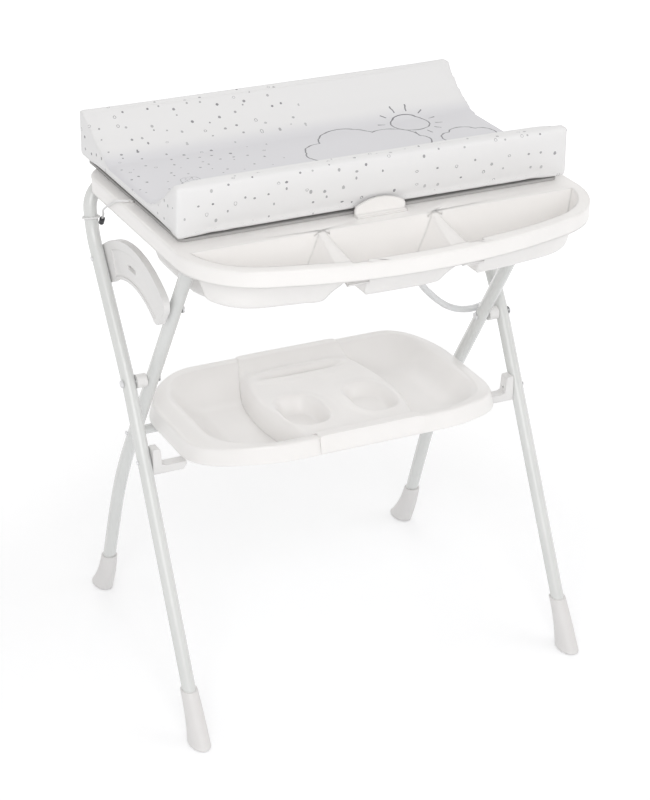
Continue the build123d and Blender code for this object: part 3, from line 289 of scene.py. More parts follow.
finishNodes = {
    "powderCoat": ["outer_frame_tube", "inner_leg_left", "inner_leg_right", "cross_tube"],
    "footPlastic": ["front_foot_left", "front_foot_right", "rear_foot_left", "rear_foot_right"],
    "whitePlastic": [
        "lock_sector", "shelf_hook_left", "shelf_hook_right", "rest_shoe_left", "rest_shoe_right",
        "pivot_spacers", "bar_saddle_left", "bar_saddle_right", "hinge_brackets", "hinge_leaves",
        "shelf_clips", "hose_clip",
    ],
    "bathPlastic": ["mat_catch", "tie_anchor_stud"],
    "zincSteel": [
        "pivot_bolts", "pivot_nuts", "sector_screws", "hook_screws", "cross_bolts", "guide_pin",
        "hinge_pins",
    ],
    "boardShadeGrey": ["mat_board"],
    "drainPlastic": ["drain_outlet", "drain_nut", "hose_cap"],
    "plugRubber": ["drain_plug"],
    "brightRing": ["plug_ring"],
    "cordWeave": ["tie_loop"],
    "toggleBlack": ["tie_toggle"],
}
for finishName, nodeNames in finishNodes.items():
    for nodeName in nodeNames:
        nodes[nodeName].data.materials.clear()
        nodes[nodeName].data.materials.append(finishes[finishName])
print("stage 3: finishes")


def gridFaces(rows, cols, wrap):
    # four-cornered faces of a grid whose vertices are numbered row by row: (i, j), (i, j + 1),
    # (i + 1, j + 1) and (i + 1, j); wrap joins the last column to the first
    i, j = np.meshgrid(np.arange(rows - 1), np.arange(cols if wrap else cols - 1), indexing="ij")
    i, j = i.ravel(), j.ravel()
    after = (j + 1) % cols
    return np.stack([i * cols + j, i * cols + after, (i + 1) * cols + after, (i + 1) * cols + j], axis=1)


def ease(t):
    # smooth step from 0 to 1: t^2 * (3 - 2 * t)
    t = np.clip(t, 0, 1)
    return t * t * (3 - 2 * t)


def roundedPath(corners, radii, step):
    # closed path through corners with an arc at each, as points at even steps; an arc starts at
    # radius * tan(turn / 2) from its corner
    out = []
    count = len(corners)
    for k in range(count):
        before, here, after = (np.array(corners[(k + d) % count], float) for d in (-1, 0, 1))
        runIn, runOut = here - before, after - here
        runIn, runOut = runIn / np.linalg.norm(runIn), runOut / np.linalg.norm(runOut)
        turn = math.atan2(runIn[0] * runOut[1] - runIn[1] * runOut[0], runIn @ runOut)
        back = radii[k] * math.tan(abs(turn) / 2)
        start = here - runIn * back
        side = np.array([-runIn[1], runIn[0]]) * math.copysign(radii[k], turn)
        swing = np.linspace(0, turn, max(3, int(abs(turn) * radii[k] / step) + 2))[:, None]
        arm = -side
        out.append(start + side + np.hstack([
            arm[0] * np.cos(swing) - arm[1] * np.sin(swing),
            arm[0] * np.sin(swing) + arm[1] * np.cos(swing),
        ]))
    path = np.concatenate(out)
    ring = np.vstack([path, path[:1]])
    gaps = np.linalg.norm(np.diff(ring, axis=0), axis=1)
    along = np.concatenate([[0], np.cumsum(gaps)])
    even = np.linspace(0, along[-1], int(along[-1] / step) + 1)[:-1]
    return np.stack([np.interp(even, along, ring[:, 0]), np.interp(even, along, ring[:, 1])], axis=1)


def coordsOf(mesh):
    flat = np.empty(len(mesh.vertices) * 3)
    mesh.vertices.foreach_get("co", flat)
    return flat.reshape(-1, 3)


matSet = {
    "halfWidth": 0.3715,
    # the cross-section's corners as (y, z), and the radius at each
    "corners": [
        (-0.1745, 0.9345), (0.2795, 0.9345), (0.2795, 1.0265), (0.2665, 1.0255), (0.213, 0.983),
        (0.158, 0.951), (-0.040, 0.951), (-0.082, 0.967), (-0.1545, 1.0275), (-0.1745, 1.0295),
    ],
    "radii": [0.006, 0.006, 0.006, 0.006, 0.05, 0.05, 0.05, 0.04, 0.006, 0.006],
    "ringStep": 0.004, "slices": 160, "voxel": 0.0058,
    "pressure": 4.0, "mass": 0.35, "tension": 12, "bending": 1.6, "quality": 4, "steps": 20,
    "swellCap": 0.0042,  # the most that the cover swells
    "footRound": 0.016, "topRound": 0.009, "planRound": 0.010,
    "boardTop": 0.9318,
    "troughFront": (-0.055, 0.9545),
    "endFacing": 0.75,  # a face whose normal points this far along X belongs to an end
}


def matRing():
    # the cross-section's points as (y, z), and how far along it each one lies
    ring = roundedPath(matSet["corners"], matSet["radii"], matSet["ringStep"])
    gaps = np.linalg.norm(np.diff(ring, axis=0), axis=1)
    return ring, np.concatenate([[0], np.cumsum(gaps)])


def matBlock(ring):
    # the mat's cross-section, carried along X with closed ends
    xs = np.linspace(-matSet["halfWidth"], matSet["halfWidth"], matSet["slices"])
    points = np.zeros((len(xs), len(ring), 3))
    points[:, :, 0] = xs[:, None]
    points[:, :, 1:] = ring[None]
    faces = gridFaces(len(xs), len(ring), True).tolist()
    last = (len(xs) - 1) * len(ring)
    faces.append(list(range(len(ring))))
    faces.append(list(range(last, last + len(ring)))[::-1])
    mesh = bpy.data.meshes.new("matBlock")
    mesh.from_pydata(points.reshape(-1, 3).tolist(), [], faces)
    block = bpy.data.objects.new("matBlock", mesh)
    bpy.context.collection.objects.link(block)
    return block


def swell(block):
    # cloth with air pressure inside and no gravity; gives the places before and after
    bpy.context.view_layer.objects.active = block
    remesh = block.modifiers.new("even", "REMESH")
    remesh.mode = "VOXEL"
    remesh.voxel_size = matSet["voxel"]
    bpy.ops.object.modifier_apply(modifier="even")
    rest = coordsOf(block.data)
    cloth = block.modifiers.new("air", "CLOTH")
    cloth.settings.use_pressure = True
    cloth.settings.uniform_pressure_force = matSet["pressure"]
    cloth.settings.effector_weights.gravity = 0
    cloth.settings.quality = matSet["quality"]
    cloth.settings.mass = matSet["mass"]
    cloth.settings.tension_stiffness = matSet["tension"]
    cloth.settings.bending_stiffness = matSet["bending"]
    scene = bpy.context.scene
    scene.frame_start, scene.frame_end = 1, matSet["steps"]
    cloth.point_cache.frame_start, cloth.point_cache.frame_end = 1, matSet["steps"]
    for step in range(1, matSet["steps"] + 1):
        scene.frame_set(step)
    shaped = block.evaluated_get(bpy.context.evaluated_depsgraph_get())
    blown = coordsOf(shaped.to_mesh())
    shaped.to_mesh_clear()
    block.modifiers.remove(cloth)
    scene.frame_set(1)
    return rest, blown


def roundEnds(place):
    # pulls what lies outside a rounded corner straight onto its arc, as seen from the front and then
    # from above: its distance from the arc's centre becomes the radius
    out = place.copy()
    side = np.sign(out[:, 0])
    low, high = out[:, 2].min(), out[:, 2].max()
    front, back = out[:, 1].min(), out[:, 1].max()
    for axis, edge, inward, radius in (
        (2, low, 1, matSet["footRound"]), (2, high, -1, matSet["topRound"]),
        (1, front, 1, matSet["planRound"]), (1, back, -1, matSet["planRound"]),
    ):
        reach = np.abs(out[:, 0]).max()
        across = np.abs(out[:, 0]) - (reach - radius)
        down = (edge + inward * radius - out[:, axis]) * inward
        away = np.hypot(across, down)
        outside = (across > 0) & (down > 0) & (away > radius)
        pull = np.where(outside, radius / np.maximum(away, 1e-9), 1.0)
        out[:, 0] = np.where(outside, side * (reach - radius + across * pull), out[:, 0])
        out[:, axis] = np.where(outside, edge + inward * radius - inward * down * pull, out[:, axis])
    return out


def addPrintMap(mesh, rest, ring, along):
    # the print's map: metres along X and round the cross-section, with the ends laid out beside it
    nearest = np.empty(len(rest), int)
    batch = 4000
    for low in range(0, len(rest), batch):
        part = rest[low:low + batch, 1:]
        nearest[low:low + batch] = np.argmin(((part[:, None] - ring[None]) ** 2).sum(2), axis=1)
    normals = np.empty(len(mesh.polygons) * 3)
    mesh.polygons.foreach_get("normal", normals)
    sizes = np.empty(len(mesh.polygons), int)
    mesh.polygons.foreach_get("loop_total", sizes)
    isEnd = np.repeat(np.abs(normals.reshape(-1, 3)[:, 0]) > matSet["endFacing"], sizes)
    corner = np.empty(len(mesh.loops), int)
    mesh.loops.foreach_get("vertex_index", corner)
    spot = rest[corner]
    u = np.where(isEnd, 1.0 + spot[:, 1] + 2.0 * (spot[:, 0] > 0), spot[:, 0])
    v = np.where(isEnd, spot[:, 2] + 2.0, along[nearest[corner]])
    layer = mesh.uv_layers.new(name="print")
    layer.data.foreach_set("uv", np.stack([u, v], axis=1).ravel())


def makeMat(ring, along, finish):
    # each move is shortened to cap * tanh(move / cap), so that none passes the cap
    block = matBlock(ring)
    rest, blown = swell(block)
    move = blown - rest
    size = np.linalg.norm(move, axis=1, keepdims=True)
    cap = matSet["swellCap"]
    move *= np.minimum(1, cap * np.tanh(size / cap) / np.maximum(size, 1e-9))
    place = roundEnds(rest + move)
    place[:, 2] = np.maximum(place[:, 2], matSet["boardTop"])
    mesh = block.data
    mesh.vertices.foreach_set("co", place.ravel())
    mesh.update()
    addPrintMap(mesh, rest, ring, along)
    mesh.shade_smooth()
    mesh.materials.clear()
    mesh.materials.append(finish)
    block.name = mesh.name = "padded_mat"
    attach(block, "mat")
    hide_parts("mat_cushion")
    print("mat:", len(mesh.polygons), "faces, largest move", round(float(size.max()), 4))


def sums(tree):
    # short names for math nodes, so that a drawn shape reads as its formula
    def calc(operation, a, b=0.0, c=0.0):
        node = addNode(tree, "ShaderNodeMath", operation=operation)
        for place, value in enumerate((a, b, c)):
            if isinstance(value, (int, float)):
                node.inputs[place].default_value = value
            else:
                tree.links.new(value, node.inputs[place])
        return node.outputs[0]
    return calc


printSet = {
    "cell": 0.026,  # metres between dots
    "dot": (0.0014, 0.0016),  # what chance adds to the radius, and the smallest radius
    "ring": (0.0025, 0.0005),  # radius, and half the width of its line
    "dotChance": 0.62, "ringChance": 0.87,  # a dot below the first, and a ring above the second
    "dotInk": (0.5, 0.4),  # what chance adds to the ink, and the least ink
    "topFront": -0.105, "topHalf": 0.366,  # what counts as the mat's top
    "panelLeft": -0.065, "panelBack": 0.277, "slopeFrom": 0.165, "slopeShift": 0.10,
    "base": 0.052,  # from the trough's front to the drawing's foot
    # circles as (u, v, radius), and the flat foot of a cloud as (u0, u1, v, radius)
    "bigCloud": [(0.020, 0.066, 0.042), (0.082, 0.100, 0.060), (0.158, 0.080, 0.050)],
    "bigFoot": (0.0, 0.19, 0.052, 0.028),
    "smallCloud": [(0.262, 0.044, 0.022), (0.292, 0.056, 0.029), (0.324, 0.046, 0.020)],
    "smallFoot": (0.254, 0.33, 0.038, 0.016),
    "sun": (0.222, 0.138, 0.036),
    "rays": (0.018, 0.007, 0.045),  # gap to their middle, half length, half width in spacings
    "line": 0.0013,
    "flower": (-0.262, 0.030, 0.0175), "petals": (0.0085, 0.0028), "flowerLines": (0.0007, 0.0008),
    "inkShares": (0.92, 0.6),  # of the clouds and sun, and of the flower
    # the trough colour is painted shade: the trough's floor is drawn darker and cooler than the ground
    "ink": (0.16, 0.16, 0.175), "ground": (0.82, 0.82, 0.825), "trough": (0.705, 0.705, 0.735),
    "troughFade": (0.975, 0.952),  # heights between which the trough's painted shade fades in
}


def printedVinyl(troughFront):
    p = printSet
    coat = {"Coat_Weight": 0.12, "Coat_Roughness": 0.35}
    mat, tree, shader = newFinish("printedVinyl", (0.8, 0.8, 0.81), 0.46, **coat)
    calc = sums(tree)
    uv = addNode(tree, "ShaderNodeUVMap", uv_map="print")
    split = addNode(tree, "ShaderNodeSeparateXYZ")
    tree.links.new(uv.outputs[0], split.inputs[0])
    u, v = split.outputs[0], calc("SUBTRACT", troughFront, split.outputs[1])
    coord = addNode(tree, "ShaderNodeTexCoord")
    place = addNode(tree, "ShaderNodeSeparateXYZ")
    tree.links.new(coord.outputs["Object"], place.inputs[0])
    x, y, z = place.outputs

    def length(du, dv):
        return calc("SQRT", calc("ADD", calc("MULTIPLY", du, du), calc("MULTIPLY", dv, dv)))

    def circle(cu, cv, radius):
        # distance from a circle's edge, below zero inside
        return calc("SUBTRACT", length(calc("SUBTRACT", u, cu), calc("SUBTRACT", v, cv)), radius)

    def capsule(u0, u1, cv, radius):
        near = calc("MAXIMUM", calc("MINIMUM", u, u1), u0)
        return calc("SUBTRACT", length(calc("SUBTRACT", u, near), calc("SUBTRACT", v, cv)), radius)

    def cloud(puffs, foot):
        # the outline of all its circles together is where the least of their distances is zero
        u0, u1, fv, fr = foot
        whole = capsule(u0, u1, p["base"] + fv, fr)
        for cu, cv, radius in puffs:
            whole = calc("MINIMUM", whole, circle(cu, p["base"] + cv, radius))
        return whole

    def line(shape, width):
        return calc("LESS_THAN", calc("ABSOLUTE", shape), width)

    # scattered dots and small rings, one to a cell, placed and sized by the cell's own chance
    voronoi = addNode(tree, "ShaderNodeTexVoronoi", voronoi_dimensions="2D", feature="F1")
    voronoi.inputs["Scale"].default_value = 1 / p["cell"]
    voronoi.inputs["Randomness"].default_value = 0.8
    tree.links.new(uv.outputs[0], voronoi.inputs["Vector"])
    chance = addNode(tree, "ShaderNodeSeparateColor")
    tree.links.new(voronoi.outputs["Color"], chance.inputs[0])
    kind, amount, grey = chance.outputs
    away = calc("MULTIPLY", voronoi.outputs["Distance"], p["cell"])
    dotRadius = calc("ADD", calc("MULTIPLY", amount, p["dot"][0]), p["dot"][1])
    dot = calc("MULTIPLY", calc("LESS_THAN", away, dotRadius), calc("LESS_THAN", kind, p["dotChance"]))
    ring = line(calc("SUBTRACT", away, p["ring"][0]), p["ring"][1])
    ring = calc("MULTIPLY", ring, calc("GREATER_THAN", kind, p["ringChance"]))
    markInk = calc("ADD", calc("MULTIPLY", grey, p["dotInk"][0]), p["dotInk"][1])
    marks = calc("MULTIPLY", calc("MAXIMUM", dot, ring), markInk)
    # no dots on the drawn panel: the right part of the trough and of the back slope
    onTop = calc("GREATER_THAN", y, p["topFront"])
    onTop = calc("MULTIPLY", onTop, calc("LESS_THAN", calc("ABSOLUTE", x), p["topHalf"]))
    shift = calc("MULTIPLY", calc("GREATER_THAN", y, p["slopeFrom"]), p["slopeShift"])
    panel = calc("MULTIPLY", onTop, calc("GREATER_THAN", x, calc("ADD", shift, p["panelLeft"])))
    panel = calc("MULTIPLY", panel, calc("LESS_THAN", y, p["panelBack"]))
    dots = calc("MULTIPLY", marks, calc("SUBTRACT", 1.0, panel))

    # a generic drawing in thin grey lines: two clouds and a sun with rays
    bigCloud = cloud(p["bigCloud"], p["bigFoot"])
    smallCloud = cloud(p["smallCloud"], p["smallFoot"])
    su, sv, sr = p["sun"]
    sun = circle(su, p["base"] + sv, sr)
    du, dv = calc("SUBTRACT", u, su), calc("SUBTRACT", v, p["base"] + sv)
    spacing = calc("FRACT", calc("DIVIDE", calc("ARCTAN2", dv, du), math.pi / 6))
    gap, halfLong, halfWide = p["rays"]
    ray = line(calc("SUBTRACT", spacing, 0.5), halfWide)
    ray = calc("MULTIPLY", line(calc("SUBTRACT", sun, gap), halfLong), ray)
    sunDrawn = calc("MAXIMUM", line(sun, p["line"]), ray)
    sunDrawn = calc("MULTIPLY", calc("GREATER_THAN", bigCloud, 0.0), sunDrawn)  # the cloud hides a part
    drawn = calc("MAXIMUM", line(bigCloud, p["line"]), line(smallCloud, p["line"]))
    drawn = calc("MAXIMUM", drawn, sunDrawn)
    # a small flower in a ring on the left: its edge is radius + swing * cos(6 * angle)
    flowerU, flowerV, ringRadius = p["flower"]
    fu, fv = calc("SUBTRACT", u, flowerU), calc("SUBTRACT", v, p["base"] + flowerV)
    reach = length(fu, fv)
    swing = calc("COSINE", calc("MULTIPLY", calc("ARCTAN2", fv, fu), 6.0))
    swing = calc("MULTIPLY", swing, p["petals"][1])
    petals = calc("SUBTRACT", reach, calc("ADD", p["petals"][0], swing))
    outer = line(calc("SUBTRACT", reach, ringRadius), p["flowerLines"][0])
    flower = calc("MAXIMUM", outer, line(petals, p["flowerLines"][1]))
    ink = calc("MAXIMUM", dots, calc("MULTIPLY", calc("MULTIPLY", drawn, onTop), p["inkShares"][0]))
    ink = calc("MAXIMUM", ink, calc("MULTIPLY", calc("MULTIPLY", flower, onTop), p["inkShares"][1]))

    # painted shade in the trough: a darker, cooler grey on its floor, fading up both slopes
    low = addNode(tree, "ShaderNodeMapRange", interpolation_type="SMOOTHSTEP")
    low.inputs["From Min"].default_value, low.inputs["From Max"].default_value = p["troughFade"]
    tree.links.new(z, low.inputs["Value"])
    ground = addNode(tree, "ShaderNodeMix", data_type="RGBA")
    ground.inputs["A"].default_value = (*p["ground"], 1)
    ground.inputs["B"].default_value = (*p["trough"], 1)
    tree.links.new(calc("MULTIPLY", onTop, low.outputs[0]), ground.inputs["Factor"])
    printed = addNode(tree, "ShaderNodeMix", data_type="RGBA")
    printed.inputs["B"].default_value = (*p["ink"], 1)
    tree.links.new(ink, printed.inputs["Factor"])
    tree.links.new(ground.outputs["Result"], printed.inputs["A"])
    tree.links.new(printed.outputs["Result"], shader.inputs["Base Color"])
    # leather-like emboss of the vinyl and slow puckers
    cells = addNode(tree, "ShaderNodeTexVoronoi")
    cells.inputs["Scale"].default_value = 900
    puckers = addNode(tree, "ShaderNodeTexNoise")
    puckers.inputs["Scale"].default_value = 16
    puckers.inputs["Detail"].default_value = 2
    tree.links.new(coord.outputs["Object"], cells.inputs["Vector"])
    tree.links.new(coord.outputs["Object"], puckers.inputs["Vector"])
    emboss = calc("MULTIPLY", cells.outputs["Distance"], 0.00006)
    bump = addNode(tree, "ShaderNodeBump")
    bump.inputs["Strength"].default_value = 0.5
    bump.inputs["Distance"].default_value = 1.0
    height = calc("ADD", emboss, calc("MULTIPLY", puckers.outputs["Fac"], 0.0018))
    tree.links.new(height, bump.inputs["Height"])
    tree.links.new(bump.outputs["Normal"], shader.inputs["Normal"])
    return mat


matSection, matAlong = matRing()
troughPoint = np.argmin(np.linalg.norm(matSection - np.array(matSet["troughFront"]), axis=1))
makeMat(matSection, matAlong, printedVinyl(float(matAlong[troughPoint])))
print("stage 4: mat")

# the bath's front: dividers with wide leaning flanks, and tray walls that draw back under the bow
bathSet = {
    "dividers": (-0.107, 0.107), "dividerMove": -0.018, "flankSpread": (0.020, 0.006),
    "hold": (0.03, 0.07),  # a divider moves whole this near to it, and fades over the second distance
    "skirtFoot": 0.896, "footBand": 0.001, "footFront": -0.15,
    "trayFloor": 0.844, "trayBack": -0.205, "mouthInset": 0.010,
    "spreadTop": 0.921, "frontStart": -0.25, "frontRun": 0.08, "drawBack": 0.026, "bowHalf": 0.36,
    "ridgeHalf": 0.0075, "ridgeFade": 0.004, "ridgeFoot": 0.87, "ridgeFootFade": 0.02,
    "ridgeFront": -0.361, "ridgeNarrow": 0.4, "ridgeRise": 0.0078, "ledge": 0.9248,
    "cutFront": -0.2, "cutLengths": (0.06, 0.03, 0.012),
}


def frontOutline(place):
    # the front outline as the lower hull of the skirt's foot: each next point turns to the left
    inBand = np.abs(place[:, 2] - bathSet["skirtFoot"]) < bathSet["footBand"]
    foot = place[inBand & (place[:, 1] < bathSet["footFront"])]
    hull = []
    for x, y in sorted(map(tuple, np.round(foot[:, :2], 6))):
        while len(hull) > 1:
            (ax, ay), (bx, by) = hull[-2:]
            if (bx - ax) * (y - ay) - (by - ay) * (x - ax) > 0:
                break
            hull.pop()
        hull.append((x, y))
    return np.array(hull).T


def bathFront(place, outline):
    # what lies in the trays moves: x += hold * (divider's move + flank's spread * depth),
    # y += draw-back * how far below the skirt * frontness * bow, and the ridges rise to the rear
    b = bathSet
    x, y, z = place.T
    inner = (y > np.interp(x, *outline) + b["mouthInset"]) & (y < b["trayBack"])
    depth = ease((b["spreadTop"] - z) / (b["spreadTop"] - b["trayFloor"]))
    moveX, lift = np.zeros(len(x)), np.zeros(len(x))
    rearward = np.clip((y - b["ridgeFront"]) / (b["trayBack"] - b["ridgeFront"]), 0, 1)
    for line in b["dividers"]:
        away = x - line
        hold = 1 - ease((np.abs(away) - b["hold"][0]) / b["hold"][1])
        spread = np.where(away < 0, -b["flankSpread"][0], b["flankSpread"][1])
        moveX += hold * (b["dividerMove"] + spread * depth)
        # the ridge is narrower on top and rises into the ledge at its rear end
        ridge = 1 - ease((np.abs(away) - b["ridgeHalf"]) / b["ridgeFade"])
        ridge *= ease((z - b["ridgeFoot"]) / b["ridgeFootFade"])
        moveX -= away * b["ridgeNarrow"] * ridge
        lift += b["ridgeRise"] * ridge * rearward ** 2
    below = ease((b["skirtFoot"] - z) / (b["skirtFoot"] - b["trayFloor"]))
    frontness = ease((b["frontStart"] - y) / b["frontRun"])
    bow = np.clip(1 - (x / b["bowHalf"]) ** 2, 0, 1)
    out = place.copy()
    out[:, 0] += np.where(inner, moveX, 0)
    out[:, 1] += np.where(inner, b["drawBack"] * below * frontness * bow, 0)
    out[:, 2] = np.where(inner, np.minimum(z + lift, np.maximum(z, b["ledge"])), z)
    return out


def makeBath(finish):
    # the trays' faces are first cut small, so that both sides of each wall move alike
    plain = nodes["tub_shell"].data
    work = bmesh.new()
    work.from_mesh(plain)
    bmesh.ops.remove_doubles(work, verts=work.verts, dist=2e-6)
    bmesh.ops.triangulate(work, faces=work.faces)
    for reach in bathSet["cutLengths"]:
        longEdges = [
            e for e in work.edges
            if e.calc_length() > reach and max(v.co.y for v in e.verts) < bathSet["cutFront"]
        ]
        bmesh.ops.subdivide_edges(work, edges=longEdges, cuts=1)
        bmesh.ops.triangulate(work, faces=work.faces)
    mesh = bpy.data.meshes.new("bath_shell")
    work.to_mesh(mesh)
    work.free()
    place = bathFront(coordsOf(mesh), frontOutline(coordsOf(plain)))
    faces = [list(f.vertices) for f in mesh.polygons]
    mesh.clear_geometry()
    mesh.from_pydata(place.tolist(), [], faces)
    mesh.shade_smooth()
    mesh.set_sharp_from_angle(angle=math.radians(32))
    mesh.materials.clear()
    mesh.materials.append(finish)
    piece = bpy.data.objects.new("bath_shell", mesh)
    bpy.context.collection.objects.link(piece)
    even = piece.modifiers.new("evenNormals", "WEIGHTED_NORMAL")
    even.keep_sharp = True
    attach(piece, "tub")
    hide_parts("tub_shell")
    print("bath:", len(mesh.polygons), "faces")


makeBath(finishes["bathPlastic"])
print("stage 5: bath")


def makeShelfPiece(name, points, wrap, finish, node, sharp):
    # a point grid (rows, cols, 3) as a thin surface on the shelf's body, in place of a plain node
    rows, cols = points.shape[:2]
    mesh = bpy.data.meshes.new(name)
    mesh.from_pydata(points.reshape(-1, 3).tolist(), [], gridFaces(rows, cols, wrap).tolist())
    work = bmesh.new()
    work.from_mesh(mesh)
    weld = 2e-6
    bmesh.ops.remove_doubles(work, verts=work.verts, dist=weld)
    bmesh.ops.dissolve_degenerate(work, edges=work.edges, dist=weld)
    bmesh.ops.recalc_face_normals(work, faces=work.faces)
    work.to_mesh(mesh)
    work.free()
    mesh.shade_smooth()
    mesh.set_sharp_from_angle(angle=math.radians(sharp))
    mesh.materials.append(finish)
    piece = bpy.data.objects.new(name, mesh)
    bpy.context.collection.objects.link(piece)
    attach(piece, "shelf")
    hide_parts(node)
    return piece


def addWall(piece, thickness, edge):
    shell = piece.modifiers.new("wall", "SOLIDIFY")
    shell.thickness = thickness
    shell.offset = -1
    soften = piece.modifiers.new("softEdge", "BEVEL")
    soften.width = edge
    soften.segments = 2
    soften.limit_method = "ANGLE"
    soften.angle_limit = math.radians(50)


# basin shelf: its profile, (inset, height), carried round its lowest outline, with a rim that sinks
# towards both ends
shelfSet = {
    "halfWidth": 0.318, "front": -0.183, "back": 0.224, "frontRound": 0.165, "backRound": 0.118,
    "step": 0.008,  # between the outline's points
    "low": 0.432, "top": 0.512, "flare": math.tan(math.radians(12)), "skirt": 0.032,
    "rimWidth": 0.017, "rimRound": 0.0058, "mouthRound": 0.010,
    "draft": math.tan(math.radians(46)), "floor": 0.457, "flat": 0.05, "dishRound": 0.058,
    "levelHalf": 0.190, "endDrop": 0.044, "sinkBlend": 0.006, "hookSeat": 0.4483,
    "wall": 0.003, "edge": 0.0008,
}


def saddle(x):
    # how far the rim has sunk at x: an arc of radius (run^2 + drop^2) / (2 * drop), tangent to its
    # level middle
    s = shelfSet
    run = s["halfWidth"] + s["rimWidth"] - s["levelHalf"]
    radius = (run ** 2 + s["endDrop"] ** 2) / (2 * s["endDrop"])
    over = np.clip(np.abs(x) - s["levelHalf"], 0, run)
    return radius - np.sqrt(radius ** 2 - over ** 2)


def lesser(a, b, blend):
    # the smaller of two heights with a soft crossing: min(a, b) - h^2 * blend / 4, where
    # h = 1 - |a - b| / blend
    h = np.clip(1 - np.abs(a - b) / blend, 0, 1)
    return np.minimum(a, b) - h * h * blend / 4


def shelfOutline():
    # the lowest outline's points and the inward direction at each: four arcs joined by straight runs
    s = shelfSet
    centres = [
        (s["halfWidth"] - s["frontRound"], s["front"] + s["frontRound"], s["frontRound"], -90),
        (s["halfWidth"] - s["backRound"], s["back"] - s["backRound"], s["backRound"], 0),
        (-s["halfWidth"] + s["backRound"], s["back"] - s["backRound"], s["backRound"], 90),
        (-s["halfWidth"] + s["frontRound"], s["front"] + s["frontRound"], s["frontRound"], 180),
    ]
    spots, inwards = [], []
    for k, (cx, cy, r, begin) in enumerate(centres):
        swing = np.radians(np.linspace(begin, begin + 90, int(r * 1.6 / s["step"]) + 2))
        out = np.stack([np.cos(swing), np.sin(swing)], axis=1)
        arc = np.array([cx, cy]) + out * r
        spots.append(arc)
        inwards.append(-out)
        nextX, nextY, nextR = centres[(k + 1) % 4][:3]
        end = np.radians(begin + 90)
        after = np.array([nextX, nextY]) + nextR * np.array([math.cos(end), math.sin(end)])
        span = np.linalg.norm(after - arc[-1])
        share = np.linspace(0, 1, max(2, int(span / s["step"])) + 1)[1:-1, None]
        spots.append(arc[-1] + (after - arc[-1]) * share)
        inwards.append(np.repeat(-out[-1:], len(share), axis=0))
    return np.concatenate(spots), np.concatenate(inwards)


def bend(start, corner, end, radius, count):
    # points of an arc tangent to both sides of a corner: its centre is radius / sin(half the angle) away
    start, corner, end = (np.array(p, float) for p in (start, corner, end))
    a, b = (start - corner), (end - corner)
    a, b = a / np.linalg.norm(a), b / np.linalg.norm(b)
    half = math.acos(np.clip(a @ b, -1, 1)) / 2
    middle = (a + b) / np.linalg.norm(a + b)
    centre = corner + middle * radius / math.sin(half)
    first = corner + a * radius / math.tan(half) - centre
    last = corner + b * radius / math.tan(half) - centre
    swing = math.acos(np.clip(first @ last / radius ** 2, -1, 1))
    out = []
    for t in np.linspace(0, 1, count):
        arm = math.sin((1 - t) * swing) * first + math.sin(t * swing) * last
        out.append(centre + arm / math.sin(swing))
    return out


def shelfProfile():
    # the rim's outer and inner edge, the foot of the dish's wall and the arc there, as (inset, height)
    s = shelfSet
    spread = (s["top"] - s["low"]) * s["flare"]
    rimOuter, rimInner = (spread, s["top"]), (spread + s["rimWidth"], s["top"])
    wallFoot = (rimInner[0] + (s["top"] - s["floor"]) * s["draft"], s["floor"])
    floorBend = bend(rimInner, wallFoot, (wallFoot[0] + s["flat"], s["floor"]), s["dishRound"], 12)
    return rimOuter, rimInner, wallFoot, floorBend


def dishHeight(inset):
    # height of the dish's inside at a given inset from the lowest outline
    rimOuter, rimInner, wallFoot, floorBend = shelfProfile()
    path = np.array([rimInner] + floorBend + [(1.0, shelfSet["floor"])])
    return np.interp(inset, path[:, 0], path[:, 1])


